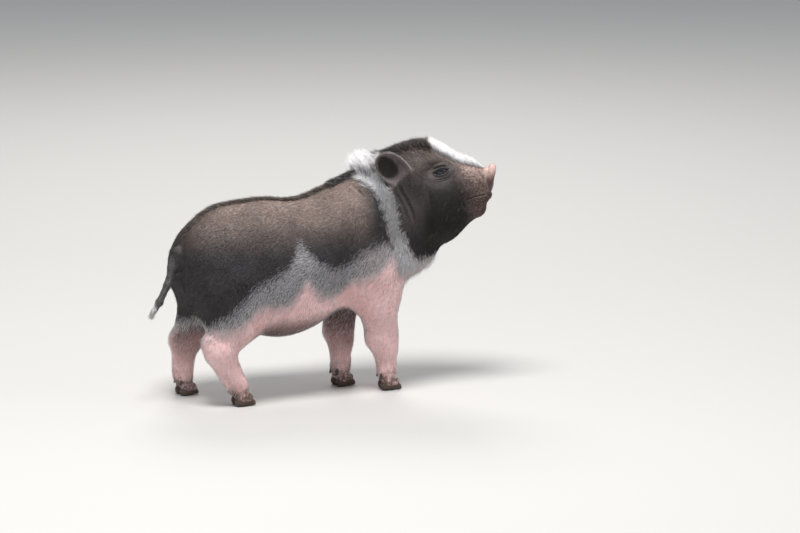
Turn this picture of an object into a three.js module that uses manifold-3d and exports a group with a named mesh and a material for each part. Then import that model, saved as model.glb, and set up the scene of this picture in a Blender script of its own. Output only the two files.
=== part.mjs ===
// A young pot bellied pig, standing, with its head turned to its right. Millimetres; x forward, y to its left, z up, hooves on z = 0.
import * as THREE from "three";
import Module from "manifold-3d";

const wasm = await Module();
wasm.setup();
const { Manifold } = wasm;

// ---------- sizes ----------
const GAP = 0.3; // between neighbouring solids
const SHIFT = [-41.7, 1.0, 0]; // brings the box of the whole to the middle of x and y
const YAW = -22; // the head's turn, degrees
const HEAD_AT = [134.2, -4.3]; // the head's own origin in x and y
const EYE = { u: 42.6, v: 17.6, z: 232.0, r: 8.5, half: 7.6, open: 3.0, tilt: 14 };
const MOUTH = { u: 71, z: 200.9, rise: 0.235 };

// ellipsoids: centre, radii, pitch (front up), yaw, roll, blend; cones: two ends, two radii, flattening, blend
const TRUNK = [
  ["ell", [-60, 0, 150], [50, 44, 53], 0, 0, 0, 0], // rump
  ["ell", [-24, 0, 144], [66, 50, 60.5], 0, 0, 0, 20], // loin
  ["ell", [0, 0, 138], [74, 54, 63], 0, 0, 0, 20], // barrel
  ["ell", [-2, 0, 114.5], [62, 52, 49], -2, 0, 0, 22], // pot belly
  ["ell", [56, 0, 151], [56, 47, 60], 6, 0, 0, 22], // chest
  ["ell", [82, 0, 182], [44, 34, 38], 12, 0, 0, 22], // withers
  ["ell", [-72, -23, 134], [38, 26, 43], -10, 0, 0, 18], // right ham
  ["ell", [-74, 23, 138], [38, 26, 40], 6, 0, 0, 18], // left ham
  ["ell", [82, -28, 154], [30, 21, 48], 12, 0, 0, 18], // right shoulder
  ["ell", [80, 28, 154], [30, 21, 48], 8, 0, 0, 18], // left shoulder
  ["ell", [114, -3, 182], [42, 37, 50], 20, -8, 0, 24], // neck
  ["ell", [140, -9, 156.5], [36, 32, 34], 40, -10, 0, 20], // dewlap
  ["ell", [123, -4, 140.5], [34, 31, 25], 40, -4, 0, 18], // brisket
];
// in the head's own turned frame: u forward, v left
const HEAD = [
  ["ell", [14, 0, 220.5], [38, 32, 33], -8, 0, 0, 18], // cranium
  ["cone", [22, 0, 222.5], [72, 0, 217.2], 30.5, 16, 1, 18], // face
  ["ell", [36, -14, 207], [28, 19, 22], 12, 0, 0, 14], // cheeks
  ["ell", [36, 14, 207], [28, 19, 22], 12, 0, 0, 14],
  ["ell", [24, -15, 190], [31, 20, 26], 20, 0, 0, 16], // jowls
  ["ell", [24, 15, 190], [31, 20, 26], 20, 0, 0, 16],
  ["ell", [20, 0, 184], [36, 28, 27], 25, 0, 0, 18], // throat
  ["cone", [66, 0, 218], [86, 0, 219.5], 15.5, 13.2, 1, 9], // snout
  ["cone", [44, 0, 184.5], [79, 0, 190.5], 22, 11.5, 1, 12], // lower jaw
  ["ell", [45, 0, 172], [22, 16, 16.5], 20, 0, 0, 14], // loose skin under it
  ["ell", [82, 0, 200.5], [14, 11.5, 6.5], 14, 0, 0, 7], // lower lip
  ["ell", [41, -20, 239.5], [15, 7, 6], -24, 12, 0, 8], // brows
  ["ell", [41, 20, 239.5], [15, 7, 6], -24, -12, 0, 8],
  ["disc", [94.4, 0, 221.8], [3.4, 13.6, 14.6], -12, 0, 0, 4], // snout disc
];
const LEGS = {
  fore_right: [
    ["cone", [94, -34, 130], [97, -29, 104], 25, 22, 0.85, 0],
    ["cone", [98.5, -28, 104], [106.5, -21, 56], 22.5, 16, 0.85, 12],
    ["cone", [107, -21, 56], [110.5, -20, 44], 15.5, 12.2, 0.92, 8],
    ["cone", [111, -20, 44], [113.5, -18, 22], 11.2, 10.6, 0.95, 6],
  ],
  fore_left: [
    ["cone", [84, 34, 128], [79, 28, 104], 26, 23, 0.85, 0],
    ["cone", [80, 27, 104], [75, 22, 58], 22, 15, 0.85, 12],
    ["cone", [75, 22, 58], [76.5, 20, 46], 14.6, 12, 0.92, 8],
    ["cone", [76.5, 20, 46], [76, 18.5, 22], 11.2, 10.6, 0.95, 6],
  ],
  hind_right: [
    ["cone", [-64, -28, 118], [-62, -33, 96], 34, 28, 0.85, 0],
    ["cone", [-58, -34, 96], [-77, -36, 65], 28, 18.5, 0.85, 12],
    ["cone", [-80, -36, 63], [-90, -36, 68], 15, 8.5, 0.9, 8],
    ["cone", [-79, -36, 56], [-61, -35, 22], 14.2, 11.6, 0.92, 8],
  ],
  hind_left: [
    ["cone", [-72, 25, 118], [-77, 32, 90], 27, 19, 0.85, 0],
    ["cone", [-78, 33, 88], [-88, 36, 62], 19, 16.5, 0.85, 12],
    ["cone", [-90, 36, 60], [-99, 36, 60], 14, 8.5, 0.9, 8],
    ["cone", [-93, 36, 52], [-94, 37, 22], 13, 10.8, 0.92, 8],
  ],
};
// where each foot stands, its turn in degrees and its scale
const FEET = {
  fore_right: { at: [114.5, -17.5], turn: -8, scale: 1 },
  fore_left: { at: [76.5, 18.5], turn: 4, scale: 1 },
  hind_right: { at: [-55.5, -34.5], turn: -4, scale: 1 },
  hind_left: { at: [-91.5, 37], turn: 6, scale: 0.95 },
};
// the ball-chain that parts each leg from the trunk, and the level of the knee or hock cut
const LEG_REACH = {
  fore_right: { chain: [[97, -38, 112, 27], [101, -29, 84, 27], [108, -20, 50, 26], [113, -18, 0, 26]], knee: [108, 57] },
  fore_left: { chain: [[80, 38, 112, 27], [78, 28, 84, 25], [76, 21, 50, 24], [76, 19, 0, 24]], knee: [76, 57] },
  hind_right: { chain: [[-64, -37, 98, 33], [-68, -38, 80, 30], [-80, -37, 56, 27], [-58, -35, 0, 27]], knee: [-80, 57] },
  hind_left: { chain: [[-77, 37, 94, 27], [-81, 37, 78, 25], [-92, 37, 56, 25], [-92, 37, 0, 25]], knee: [-92, 57] },
};
const TAIL = [[-113, 0, 157, 6.9], [-118, -1, 143, 4.8], [-124, -2.5, 126, 3.8], [-133, -3.5, 109, 3.3], [-141, -4, 97, 3.4], [-145, -4, 93.5, 1.6]];
const EARS = {
  right: { base: [5, -33, 222], tip: [-0.66, -0.15, 0.73], out: [0.02, -0.98, -0.12] },
  left: { base: [4, 29, 222], tip: [-0.90, 0.42, 0.02], out: [0.10, 0.90, 0.42] },
};
const EAR = { length: 41, half: 15, cup: 7, thick: 3.2 };

// ---------- the field: under 0 inside the flesh ----------
const rad = THREE.MathUtils.degToRad;
const cy = Math.cos(rad(YAW)), sy = Math.sin(rad(YAW));
const toHead = ([x, y, z]) => [(x - HEAD_AT[0]) * cy + (y - HEAD_AT[1]) * sy, -(x - HEAD_AT[0]) * sy + (y - HEAD_AT[1]) * cy, z];
const fromHead = ([u, v, z]) => [HEAD_AT[0] + u * cy - v * sy, HEAD_AT[1] + u * sy + v * cy, z];
const clamp = (x, a, b) => Math.min(Math.max(x, a), b);
const step = (x, a, b) => { const t = clamp((x - a) / (b - a), 0, 1); return t * t * (3 - 2 * t); };
const bell = (d, w) => Math.exp(-(d * d) / (w * w));
const smin = (a, b, k) => { if (k <= 0) return Math.min(a, b); const h = Math.max(k - Math.abs(a - b), 0) / k; return Math.min(a, b) - h * h * k * 0.25; };
const smax = (a, b, k) => -smin(-a, -b, k);

function ellipsoid(p, c, r, pitch = 0, yaw = 0) {
  let x = p[0] - c[0], y = p[1] - c[1], z = p[2] - c[2];
  if (yaw) { const a = rad(yaw), C = Math.cos(a), S = Math.sin(a); [x, y] = [x * C + y * S, -x * S + y * C]; }
  if (pitch) { const a = rad(pitch), C = Math.cos(a), S = Math.sin(a); [x, z] = [x * C + z * S, -x * S + z * C]; }
  const k0 = Math.hypot(x / r[0], y / r[1], z / r[2]), k1 = Math.hypot(x / r[0] ** 2, y / r[1] ** 2, z / r[2] ** 2);
  return (k0 * (k0 - 1)) / Math.max(k1, 1e-9);
}
function cone(p, a, b, ra, rb, flat = 1) {
  const s = 1 / flat;
  const q = [p[0] - a[0], (p[1] - a[1]) * s, p[2] - a[2]], d = [b[0] - a[0], (b[1] - a[1]) * s, b[2] - a[2]];
  const h = clamp((q[0] * d[0] + q[1] * d[1] + q[2] * d[2]) / (d[0] ** 2 + d[1] ** 2 + d[2] ** 2), 0, 1);
  return (Math.hypot(q[0] - h * d[0], q[1] - h * d[1], q[2] - h * d[2]) - (ra + (rb - ra) * h)) * (flat >= 1 ? 1 : 0.5 + 0.5 * flat);
}
function disc(p, c, r, pitch) {
  const a = rad(pitch), x = p[0] - c[0], z0 = p[2] - c[2];
  const u = x * Math.cos(a) + z0 * Math.sin(a), z = -x * Math.sin(a) + z0 * Math.cos(a);
  const m = (r[1] + r[2]) / 2, e = Math.min(r[0], 2.6);
  const dr = Math.hypot((p[1] - c[1]) / r[1], z / r[2]) * m - (m - e), du = Math.abs(u) - (r[0] - e);
  return Math.min(Math.max(dr, du), 0) + Math.hypot(Math.max(dr, 0), Math.max(du, 0)) - e;
}
const SHAPES = { ell: (p, s) => ellipsoid(p, s[1], s[2], s[3], s[4]), cone: (p, s) => cone(p, s[1], s[2], s[3], s[4], s[5]), disc: (p, s) => disc(p, s[1], s[2], s[3]) };
const blend = (p, shapes, start = 1e3) => shapes.reduce((f, s) => smin(f, SHAPES[s[0]](p, s), s[s.length - 1]), start);

const footFrame = ([x, y, z], { at, turn, scale }) => {
  const a = rad(turn), dx = x - at[0], dy = y - at[1];
  return [(dx * Math.cos(a) + dy * Math.sin(a)) / scale, (-dx * Math.sin(a) + dy * Math.cos(a)) / scale, z / scale];
};
function pastern(p, foot) {
  const q = footFrame(p, foot);
  let f = 1e3;
  for (const s of [-1, 1]) {
    f = smin(f, cone(q, [-1.5, s * 4.6, 19], [-0.5, s * 5.6, 9.5], 6.8, 6.2), 3);
    f = smin(f, cone(q, [-0.5, s * 5.6, 9.5], [6.5, s * 5.2, 8.5], 6.2, 4.6), 3);
  }
  return f * foot.scale;
}
// the skin without ears and tail
function flesh(p) {
  const q = toHead(p);
  const core = blend(q, HEAD, blend(p, TRUNK));
  let f = core;
  for (const [name, shapes] of Object.entries(LEGS)) {
    if (p[2] > 175) break;
    let leg = 1e3;
    shapes.forEach((s, i) => { leg = i ? smin(leg, SHAPES.cone(p, s), s[6]) : SHAPES.cone(p, s); });
    leg = smin(leg, pastern(p, FEET[name]), 5);
    f = Math.min(f, smin(core, leg, 22));
  }
  // the orbits are soft hollows with the lids bulging in them
  if (q[0] > 20 && q[0] < 70 && Math.abs(q[1]) > 6) {
    const s = Math.sign(q[1]);
    f = smax(f, -ellipsoid(q, [44, s * 34.8, 232], [17, 9.5, 11.5], 12), 9);
    f = smin(f, Math.hypot((q[0] - EYE.u) / 1.07, q[1] - s * EYE.v, q[2] - EYE.z) - (EYE.r + 1.5), 4.5);
  }
  return f;
}
// how far the coat's outline stands off the skin: a short coat, a low crest of bristles on the back, a longer one on crown and blaze
function coat(p) {
  const [u, v, z] = toHead(p);
  const face = step(u, 25, 70) * step(z, 170, 190);
  const body = 0.5 + 1.1 * step(p[2], 60, 95);
  const back = (1 + 3.6 * step(p[0], -80, 40)) * bell(p[1], 12) * step(p[0], -115, -80) * step(p[2], 185, 200) * (1 - step(u, -10, 20));
  const crown = 5.5 * bell(v, 13) * step(u, -20, 0) * (1 - step(u, 60, 96)) * step(z, 222, 232);
  return body * (1 - face) + 0.4 * face + back + crown;
}
// the standing collar of long hair on the nape
const COLLAR = [[104, -2, 230], [42, 17, 30], 20];
const COLLAR_BLEND = 16;
const outline = (p) => smin(flesh(p) - coat(p), ellipsoid(p, ...COLLAR), COLLAR_BLEND);

const unit = (v) => { const l = Math.hypot(...v); return v.map((x) => x / l); };
const dot = (a, b) => a[0] * b[0] + a[1] * b[1] + a[2] * b[2];
// an ear is a cupped leaf: rings of points round its rim, from the root to the tip, each a flat oval bent to the cup
function leaf({ base, tip, out }, rings = 9, round = 12) {
  const a = unit(tip), n = unit(out.map((x, i) => x - a[i] * dot(out, a)));
  const b = [n[1] * a[2] - n[2] * a[1], n[2] * a[0] - n[0] * a[2], n[0] * a[1] - n[1] * a[0]];
  const { length: L, half: W, cup, thick } = EAR;
  const at = (t, y, side) => {
    const ts = clamp(t, 0, 1), w = W * Math.sqrt(Math.max(1 - ((t - 0.47) / 0.53) ** 2, 0)), c = cup * (1 - 0.45 * ts);
    const h = c * (y * y - 0.55) - 2.2 * Math.sin(Math.PI * ts) + 3 * ts * ts + side * (thick / 2 + clamp(1 - ts * 2.4, 0, 1));
    const v = y * w - (1 - ts) * 1.5;
    return fromHead(base.map((x, i) => x + a[i] * t * L + b[i] * v + n[i] * h));
  };
  const pos = [], tris = [];
  for (let i = 0; i < rings; i++) {
    const t = 0.485 - 0.495 * Math.cos((Math.PI * (i + 0.6)) / (rings + 0.2)); // closer together towards root and tip
    for (let j = 0; j < round; j++) {
      const f = (2 * Math.PI * j) / round;
      pos.push(...at(t, Math.cos(f), Math.sign(Math.sin(f)) * Math.abs(Math.sin(f)) ** 0.7));
    }
  }
  pos.push(...at(-0.04, 0, 0), ...at(1.0, 0, 0));
  const root = rings * round, top = root + 1;
  for (let j = 0; j < round; j++) {
    const k = (j + 1) % round;
    for (let i = 0; i < rings - 1; i++) {
      const p = i * round;
      tris.push(p + j, p + k, p + round + j, p + k, p + round + k, p + round + j);
    }
    tris.push(root, k, j, top, (rings - 1) * round + j, (rings - 1) * round + k);
  }
  const made = new Manifold(new wasm.Mesh({ numProp: 3, vertProperties: new Float32Array(pos), triVerts: new Uint32Array(tris) }));
  return made.volume() > 0 ? made : new Manifold(new wasm.Mesh({ numProp: 3, vertProperties: new Float32Array(pos), triVerts: new Uint32Array(tris).reverse() }));
}

// ---------- solids ----------
// A closed surface round the field's zero level on a grid of cubes: one corner point for each cube the surface crosses,
// drawn onto the surface, and one quadrilateral for each grid edge it crosses. A cube that two sheets cross spoils the
// surface, so the grid is then moved a little.
function wrap(field, lo, hi, cell, keep = 0.15) {
  for (const shift of [0, 0.21, 0.43, 0.67, 0.81, 0.33, 0.55, 0.12]) {
    const made = wrapOnce(field, lo.map((x, d) => x - shift * cell * [1, 0.7, 0.4][d]), hi, cell);
    if (made) return made.simplify(keep);
  }
  throw new Error("no grid gives one clean surface");
}
function wrapOnce(field, lo, hi, cell) {
  const n = lo.map((l, i) => Math.ceil((hi[i] - l) / cell) + 1);
  const at = (i, j, k) => [lo[0] + i * cell, lo[1] + j * cell, lo[2] + k * cell];
  const id = (i, j, k) => (i * n[1] + j) * n[2] + k;
  const val = new Float64Array(n[0] * n[1] * n[2]);
  for (let i = 0; i < n[0]; i++) for (let j = 0; j < n[1]; j++) for (let k = 0; k < n[2]; k++) {
    const edge = !i || !j || !k || i === n[0] - 1 || j === n[1] - 1 || k === n[2] - 1;
    const f = field(at(i, j, k));
    val[id(i, j, k)] = edge ? Math.max(f, cell * 0.3) : Math.abs(f) < 1e-3 ? 1e-3 : f;
  }
  const corners = [0, 1].flatMap((i) => [0, 1].flatMap((j) => [0, 1].map((k) => [i, j, k])));
  const point = new Map(), pos = [];
  const cellPoint = (i, j, k) => {
    const key = id(i, j, k);
    if (point.has(key)) return point.get(key);
    let c = [0, 0, 0], m = 0;
    for (const p of corners) for (let ax = 0; ax < 3; ax++) if (!p[ax]) {
      const q = [...p]; q[ax] = 1;
      const va = val[id(i + p[0], j + p[1], k + p[2])], vb = val[id(i + q[0], j + q[1], k + q[2])];
      if (va < 0 === vb < 0) continue;
      const t = va / (va - vb), a = at(i + p[0], j + p[1], k + p[2]);
      a[ax] += t * cell;
      c = c.map((x, d) => x + a[d]);
      m++;
    }
    c = c.map((x) => x / m);
    const inside = [lo, hi].every((l, s) => c.every((x, d) => (s ? l[d] - x : x - l[d]) > 1.3 * cell));
    for (let r = 0; inside && r < 3; r++) {
      const f = field(c), h = 0.05, g = [0, 1, 2].map((d) => { const e = [...c]; e[d] += h; return (field(e) - f) / h; });
      const l = Math.max(g[0] ** 2 + g[1] ** 2 + g[2] ** 2, 0.2), move = clamp(f, -0.3 * cell, 0.3 * cell);
      c = c.map((x, d) => x - (move * g[d]) / l);
    }
    pos.push(...c);
    point.set(key, pos.length / 3 - 1);
    return pos.length / 3 - 1;
  };
  const tris = [];
  for (let i = 0; i < n[0] - 1; i++) for (let j = 0; j < n[1] - 1; j++) for (let k = 0; k < n[2] - 1; k++) for (let ax = 0; ax < 3; ax++) {
    const e = [i, j, k];
    if (!e[(ax + 1) % 3] || !e[(ax + 2) % 3]) continue;
    e[ax]++;
    const va = val[id(i, j, k)] < 0, vb = val[id(...e)] < 0;
    if (va === vb) continue;
    const b = (ax + 1) % 3, c = (ax + 2) % 3;
    const quad = [[0, 0], [1, 0], [1, 1], [0, 1]].map(([p, q]) => { const w = [i, j, k]; w[b] -= p; w[c] -= q; return cellPoint(...w); });
    if (!va) quad.reverse();
    const P = quad.map((v) => pos.slice(3 * v, 3 * v + 3)), d = (a, z) => Math.hypot(a[0] - z[0], a[1] - z[1], a[2] - z[2]);
    if (d(P[0], P[2]) <= d(P[1], P[3])) tris.push(quad[0], quad[1], quad[2], quad[0], quad[2], quad[3]);
    else tris.push(quad[0], quad[1], quad[3], quad[1], quad[2], quad[3]);
  }
  try {
    return new Manifold(new wasm.Mesh({ numProp: 3, vertProperties: new Float32Array(pos), triVerts: new Uint32Array(tris) }));
  } catch {
    return null;
  }
}
const ball = (at, r, n = 16) => Manifold.sphere(r, n).translate(at);
const capsule = (a, b, n = 16, grow = 0) => Manifold.hull([ball(a.slice(0, 3), a[3] + grow, n), ball(b.slice(0, 3), b[3] + grow, n)]);
const chain = (balls, n = 16, grow = 0) => Manifold.union(balls.slice(1).map((b, i) => capsule(balls[i], b, n, grow)));
const biggest = (m) => m.decompose().sort((a, b) => b.volume() - a.volume())[0];
// the half of a solid on the +normal side of the plane through `at`, half a gap off it
const beyond = (m, normal, at) => m.trimByPlane(normal, dot(unit(normal), at) + GAP / 2);
const before = (m, normal, at) => beyond(m, normal.map((x) => -x), at);
const headDir = ([u, v, z]) => [u * cy - v * sy, u * sy + v * cy, z];

const parts = {};

// flesh at three densities: the trunk coarse, the legs and the head finer
const body = wrap(outline, [-130, -74, 30], [160, 74, 276], 13, 0.5);
const limbs = wrap(outline, [-125, -76, -9], [150, 76, 160], 10, 0.4);
const front = wrap(outline, [61, -95, 84], [242, 66, 276], 9.4, 0.45);

const NECK_BACK = { normal: [0.89, 0, 0.457], at: [85, 0, 196] };
const NECK_FRONT = { normal: headDir([0.923, 0, 0.383]), at: fromHead([2, 0, 217]) };

let trunk = before(body, NECK_BACK.normal, NECK_BACK.at);
for (const [name, { chain: balls, knee }] of Object.entries(LEG_REACH)) {
  trunk = trunk.subtract(chain(balls, 10, GAP));
  const leg = biggest(limbs.intersect(chain(balls, 10)));
  const [kx, kz] = knee;
  parts[name + "_upper"] = beyond(leg, [0, 0, 1], [kx, 0, kz]);
  parts[name + "_lower"] = before(leg, [0, 0, 1], [kx, 0, kz]);
}
trunk = biggest(trunk);

const neckBlank = beyond(front, NECK_BACK.normal, NECK_BACK.at);
const neck = biggest(before(neckBlank, NECK_FRONT.normal, NECK_FRONT.at));
let head = beyond(front, NECK_FRONT.normal, NECK_FRONT.at);

// eyes, with an almond opening cut through the lids
for (const [side, s] of [["right", -1], ["left", 1]]) {
  const at = fromHead([EYE.u, s * EYE.v, EYE.z]);
  const a = rad(EYE.tilt), almond = [];
  for (let k = -2; k <= 2; k++) {
    const d = (k / 2) * (EYE.half - 0.9), r = 0.9 + (EYE.open - 0.9) * (1 - (k / 2) ** 2);
    for (const out of [4, 16]) almond.push(ball(fromHead([EYE.u + d * Math.cos(a), s * (EYE.v + out), EYE.z + d * Math.sin(a)]), r, 12));
  }
  parts["eye_" + side] = ball(at, EYE.r, 14);
  head = head.subtract(ball(at, EYE.r + GAP + 0.1, 14)).subtract(Manifold.hull(almond));
}
// the snout and the lower jaw part from the skull at the cheek, and from each other along the mouth
const CHEEK = { normal: headDir([1, 0, 0]), at: fromHead([62, 0, 0]) };
const LIPS = { normal: headDir([-MOUTH.rise, 0, 1]), at: fromHead([MOUTH.u, 0, MOUTH.z]) };
let muzzle = beyond(wrap(outline, [170, -80, 150], [242, 20, 262], 5.4, 0.25), CHEEK.normal, CHEEK.at);
head = biggest(before(head, CHEEK.normal, CHEEK.at));
for (const s of [-1, 1]) // nostrils
  muzzle = muzzle.subtract(capsule([...fromHead([93, s * 5.6, 220.4]), 2.2], [...fromHead([103, s * 5.9, 222.8]), 3.2], 10));
parts.snout = biggest(beyond(muzzle, LIPS.normal, LIPS.at));
parts.jaw = biggest(before(muzzle, LIPS.normal, LIPS.at));

// ears stand off the head and the nape by a gap
const room = wrap((p) => outline(p) - 0.8, [85, -95, 170], [190, 66, 280], 7.2, 0.1);
for (const [side, e] of Object.entries(EARS)) {
  parts["ear_" + side] = biggest(leaf(e).subtract(room));
}

// tail
const tail = chain(TAIL, 8);
parts.tail = biggest(tail.subtract(wrap((p) => outline(p) - 0.7, [-130, -30, 84], [-76, 30, 210], 6, 0.1)));

// hooves: two main claws a foot, cut flat on the ground, and two dewclaws behind
const place = (q, foot) => {
  const a = rad(foot.turn), k = foot.scale;
  return [foot.at[0] + k * (q[0] * Math.cos(a) - q[1] * Math.sin(a)), foot.at[1] + k * (q[0] * Math.sin(a) + q[1] * Math.cos(a)), k * q[2]];
};
for (const [name, foot] of Object.entries(FEET)) {
  let lower = parts[name + "_lower"];
  for (const [side, s] of [["right", -1], ["left", 1]]) {
    const claw = (grow) => // a wedge with a flat sole
      Manifold.hull(
        [[-3.4, 6.0, 4.2, 5.4], [-2.2, 6.0, 7.0, 4.6], [2.2, 5.6, 9.5, 4.2], [12.2, 4.4, 2.0, 1.8], [9.8, 4.6, 5.8, 1.8], [6.2, 4.8, 10.6, 2.2]].map(([x, y, z, r]) =>
          ball(place([x, s * y, z], foot), r * foot.scale + grow, 8),
        ),
      )
        .trimByPlane([0, 0, 1], grow ? -1 : 0)
        .trimByPlane(unit(headless([0, s, 0], foot)), dot(unit(headless([0, s, 0], foot)), place([0, s * 0.5, 0], foot)) - grow);
    parts[`hoof_${name}_${side}`] = claw(0);
    lower = lower.subtract(claw(GAP + 0.15));
    const dew = (grow) => Manifold.hull([ball(place([-6.4, s * 6.6, 18.5], foot), 3.2 * foot.scale + grow, 6), ball(place([-9.4, s * 7.4, 12.8], foot), 1.5 * foot.scale + grow, 6)]);
    parts[`dewclaw_${name}_${side}`] = dew(0).subtract(claw(GAP + 0.1));
    lower = lower.subtract(dew(GAP + 0.15));
  }
  parts[name + "_lower"] = biggest(lower.trimByPlane([0, 0, 1], 1.5));
}
function headless([x, y, z], foot) {
  const a = rad(foot.turn);
  return [x * Math.cos(a) - y * Math.sin(a), x * Math.sin(a) + y * Math.cos(a), z];
}
parts.trunk = trunk;
parts.neck = neck;
parts.head = head;

// slivers left by the cuts go, as far as no edge is then shared by more than two faces
function tidy(m, most) {
  for (const keep of [0.35, 0.3, 0.24, 0.18, 0.12, 0.07, 0.03, 0.01].filter((x) => x <= most)) {
    const made = m.simplify(keep), { numProp, vertProperties: v, triVerts: t } = made.getMesh();
    const name = (i) => [0, 1, 2].map((k) => Math.round((v[i * numProp + k] + SHIFT[k]) * 1000)).join();
    const edges = new Map();
    for (let i = 0; i < t.length; i += 3) for (let k = 0; k < 3; k++) {
      const e = [name(t[i + k]), name(t[i + ((k + 1) % 3)])].sort().join("|");
      edges.set(e, (edges.get(e) || 0) + 1);
    }
    if ([...edges.values()].every((n) => n === 2) && made.decompose().length === 1) return made;
  }
  return m;
}

// ---------- the group, moved so that its own box is centred on x = y = 0 ----------

const root = new THREE.Group();
root.name = "pot_bellied_pig";
root.position.set(...SHIFT);
for (const [name, m] of Object.entries(parts)) {
  const { numProp, vertProperties, triVerts, numVert } = tidy(m, /hoof|dewclaw|eye/.test(name) ? 0.12 : 0.35).getMesh();
  const pos = new Float32Array(numVert * 3);
  for (let i = 0; i < numVert; i++) pos.set(vertProperties.subarray(i * numProp, i * numProp + 3), i * 3);
  const g = new THREE.BufferGeometry().setAttribute("position", new THREE.BufferAttribute(pos, 3)).setIndex(new THREE.BufferAttribute(triVerts, 1));
  const mesh = new THREE.Mesh(g, new THREE.MeshStandardMaterial({ color: 0x4a403c }));
  mesh.name = name;
  root.add(mesh);
}
export default root;
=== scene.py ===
"""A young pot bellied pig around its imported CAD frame: one skin, eyes, hooves and a coat of solid hairs.
Shapes are worked out in millimetres in the body's own frame (x forward, y to its left, z up) and go out in metres."""
import bpy, math
import numpy as np
from mathutils import Matrix, Vector


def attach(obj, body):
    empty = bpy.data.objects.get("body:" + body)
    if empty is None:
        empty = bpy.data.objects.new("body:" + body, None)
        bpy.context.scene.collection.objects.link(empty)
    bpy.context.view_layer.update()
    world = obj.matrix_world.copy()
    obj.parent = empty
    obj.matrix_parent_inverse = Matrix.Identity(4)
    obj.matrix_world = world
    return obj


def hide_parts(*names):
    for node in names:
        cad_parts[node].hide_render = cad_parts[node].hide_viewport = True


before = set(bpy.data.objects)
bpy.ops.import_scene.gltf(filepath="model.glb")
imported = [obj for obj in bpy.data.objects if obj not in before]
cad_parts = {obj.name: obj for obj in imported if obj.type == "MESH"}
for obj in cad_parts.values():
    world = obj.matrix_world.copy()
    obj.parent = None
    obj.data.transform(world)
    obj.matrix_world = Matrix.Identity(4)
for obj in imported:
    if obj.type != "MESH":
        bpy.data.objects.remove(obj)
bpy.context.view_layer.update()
SHIFT = np.array([-41.7, 1.0, 0.0])      # body frame to row frame, mm
MM = 0.001

# ------------------------------------------------------------------ camera, as the photo looks at the animal
AZ, EL, DIST = math.radians(-22.0), math.radians(11.0), 6.0
AIM = (np.array([135.9, 0.0, 125.7]) + SHIFT) * MM
BACK = np.array([math.sin(AZ) * math.cos(EL), -math.cos(AZ) * math.cos(EL), math.sin(EL)])
RIGHT = np.array([math.cos(AZ), math.sin(AZ), 0.0])
UP = np.cross(BACK, RIGHT)
cam_data = bpy.data.cameras.new("camera")
cam_data.sensor_width, cam_data.lens = 36.0, 257.14
cam_data.clip_end = 50.0
cam = bpy.data.objects.new("camera", cam_data)
bpy.context.scene.collection.objects.link(cam)
m = Matrix.Identity(4)
for i in range(3):
    m[i][0], m[i][1], m[i][2], m[i][3] = RIGHT[i], UP[i], BACK[i], AIM[i] + DIST * BACK[i]
cam.matrix_world = m
bpy.context.scene.camera = cam
bpy.context.scene.view_settings.view_transform = "Standard"

# ------------------------------------------------------------------ small field functions
YAW, HEAD_O = math.radians(-22.0), (134.2, -4.3)
CY, SY = math.cos(YAW), math.sin(YAW)


def to_head(P):
    x, y = P[..., 0] - HEAD_O[0], P[..., 1] - HEAD_O[1]
    return np.stack([x * CY + y * SY, -x * SY + y * CY, P[..., 2]], -1)


def from_head(q):
    q = np.asarray(q, float)
    return np.stack([HEAD_O[0] + q[..., 0] * CY - q[..., 1] * SY, HEAD_O[1] + q[..., 0] * SY + q[..., 1] * CY, q[..., 2]], -1)


def dir_from_head(d):
    d = np.asarray(d, float)
    return np.stack([d[..., 0] * CY - d[..., 1] * SY, d[..., 0] * SY + d[..., 1] * CY, d[..., 2]], -1)


def smin(a, b, k):
    h = np.maximum(k - np.abs(a - b), 0) / k
    return np.minimum(a, b) - h * h * k * 0.25


def smax(a, b, k):
    return -smin(-a, -b, k)


def bell(d, w):
    return np.exp(-(d / w) ** 2)


def step(x, a, b):
    t = np.clip((x - a) / (b - a), 0, 1)
    return t * t * (3 - 2 * t)


def ell(P, c, r, pitch=0, yaw=0, roll=0):
    q = P - np.array(c, float)
    if yaw:
        a = math.radians(yaw)
        q = np.stack([q[..., 0] * math.cos(a) + q[..., 1] * math.sin(a), -q[..., 0] * math.sin(a) + q[..., 1] * math.cos(a), q[..., 2]], -1)
    if pitch:
        a = math.radians(pitch)
        q = np.stack([q[..., 0] * math.cos(a) + q[..., 2] * math.sin(a), q[..., 1], -q[..., 0] * math.sin(a) + q[..., 2] * math.cos(a)], -1)
    r = np.array(r, float)
    k0 = np.sqrt(((q / r) ** 2).sum(-1))
    k1 = np.sqrt(((q / (r * r)) ** 2).sum(-1))
    return k0 * (k0 - 1) / np.maximum(k1, 1e-9)


def cone(P, a, b, ra, rb, flat=1.0):
    a, b, s = np.array(a, float), np.array(b, float), np.array([1, 1 / flat, 1])
    q, d = (P - a) * s, (b - a) * s
    h = np.clip((q @ d) / (d @ d), 0, 1)
    v = q - h[..., None] * d
    return (np.sqrt((v ** 2).sum(-1)) - (ra + (rb - ra) * h)) * (1.0 if flat >= 1 else (0.5 + 0.5 * flat))


def plate(P, c, r, pitch):
    q, a = P - np.array(c, float), math.radians(pitch)
    u = q[..., 0] * math.cos(a) + q[..., 2] * math.sin(a)
    z = -q[..., 0] * math.sin(a) + q[..., 2] * math.cos(a)
    m_, e = (r[1] + r[2]) / 2, min(r[0], 2.6)
    dx = np.sqrt((q[..., 1] / r[1]) ** 2 + (z / r[2]) ** 2) * m_ - (m_ - e)
    du = np.abs(u) - (r[0] - e)
    return np.minimum(np.maximum(dx, du), 0) + np.hypot(np.maximum(dx, 0), np.maximum(du, 0)) - e


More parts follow.
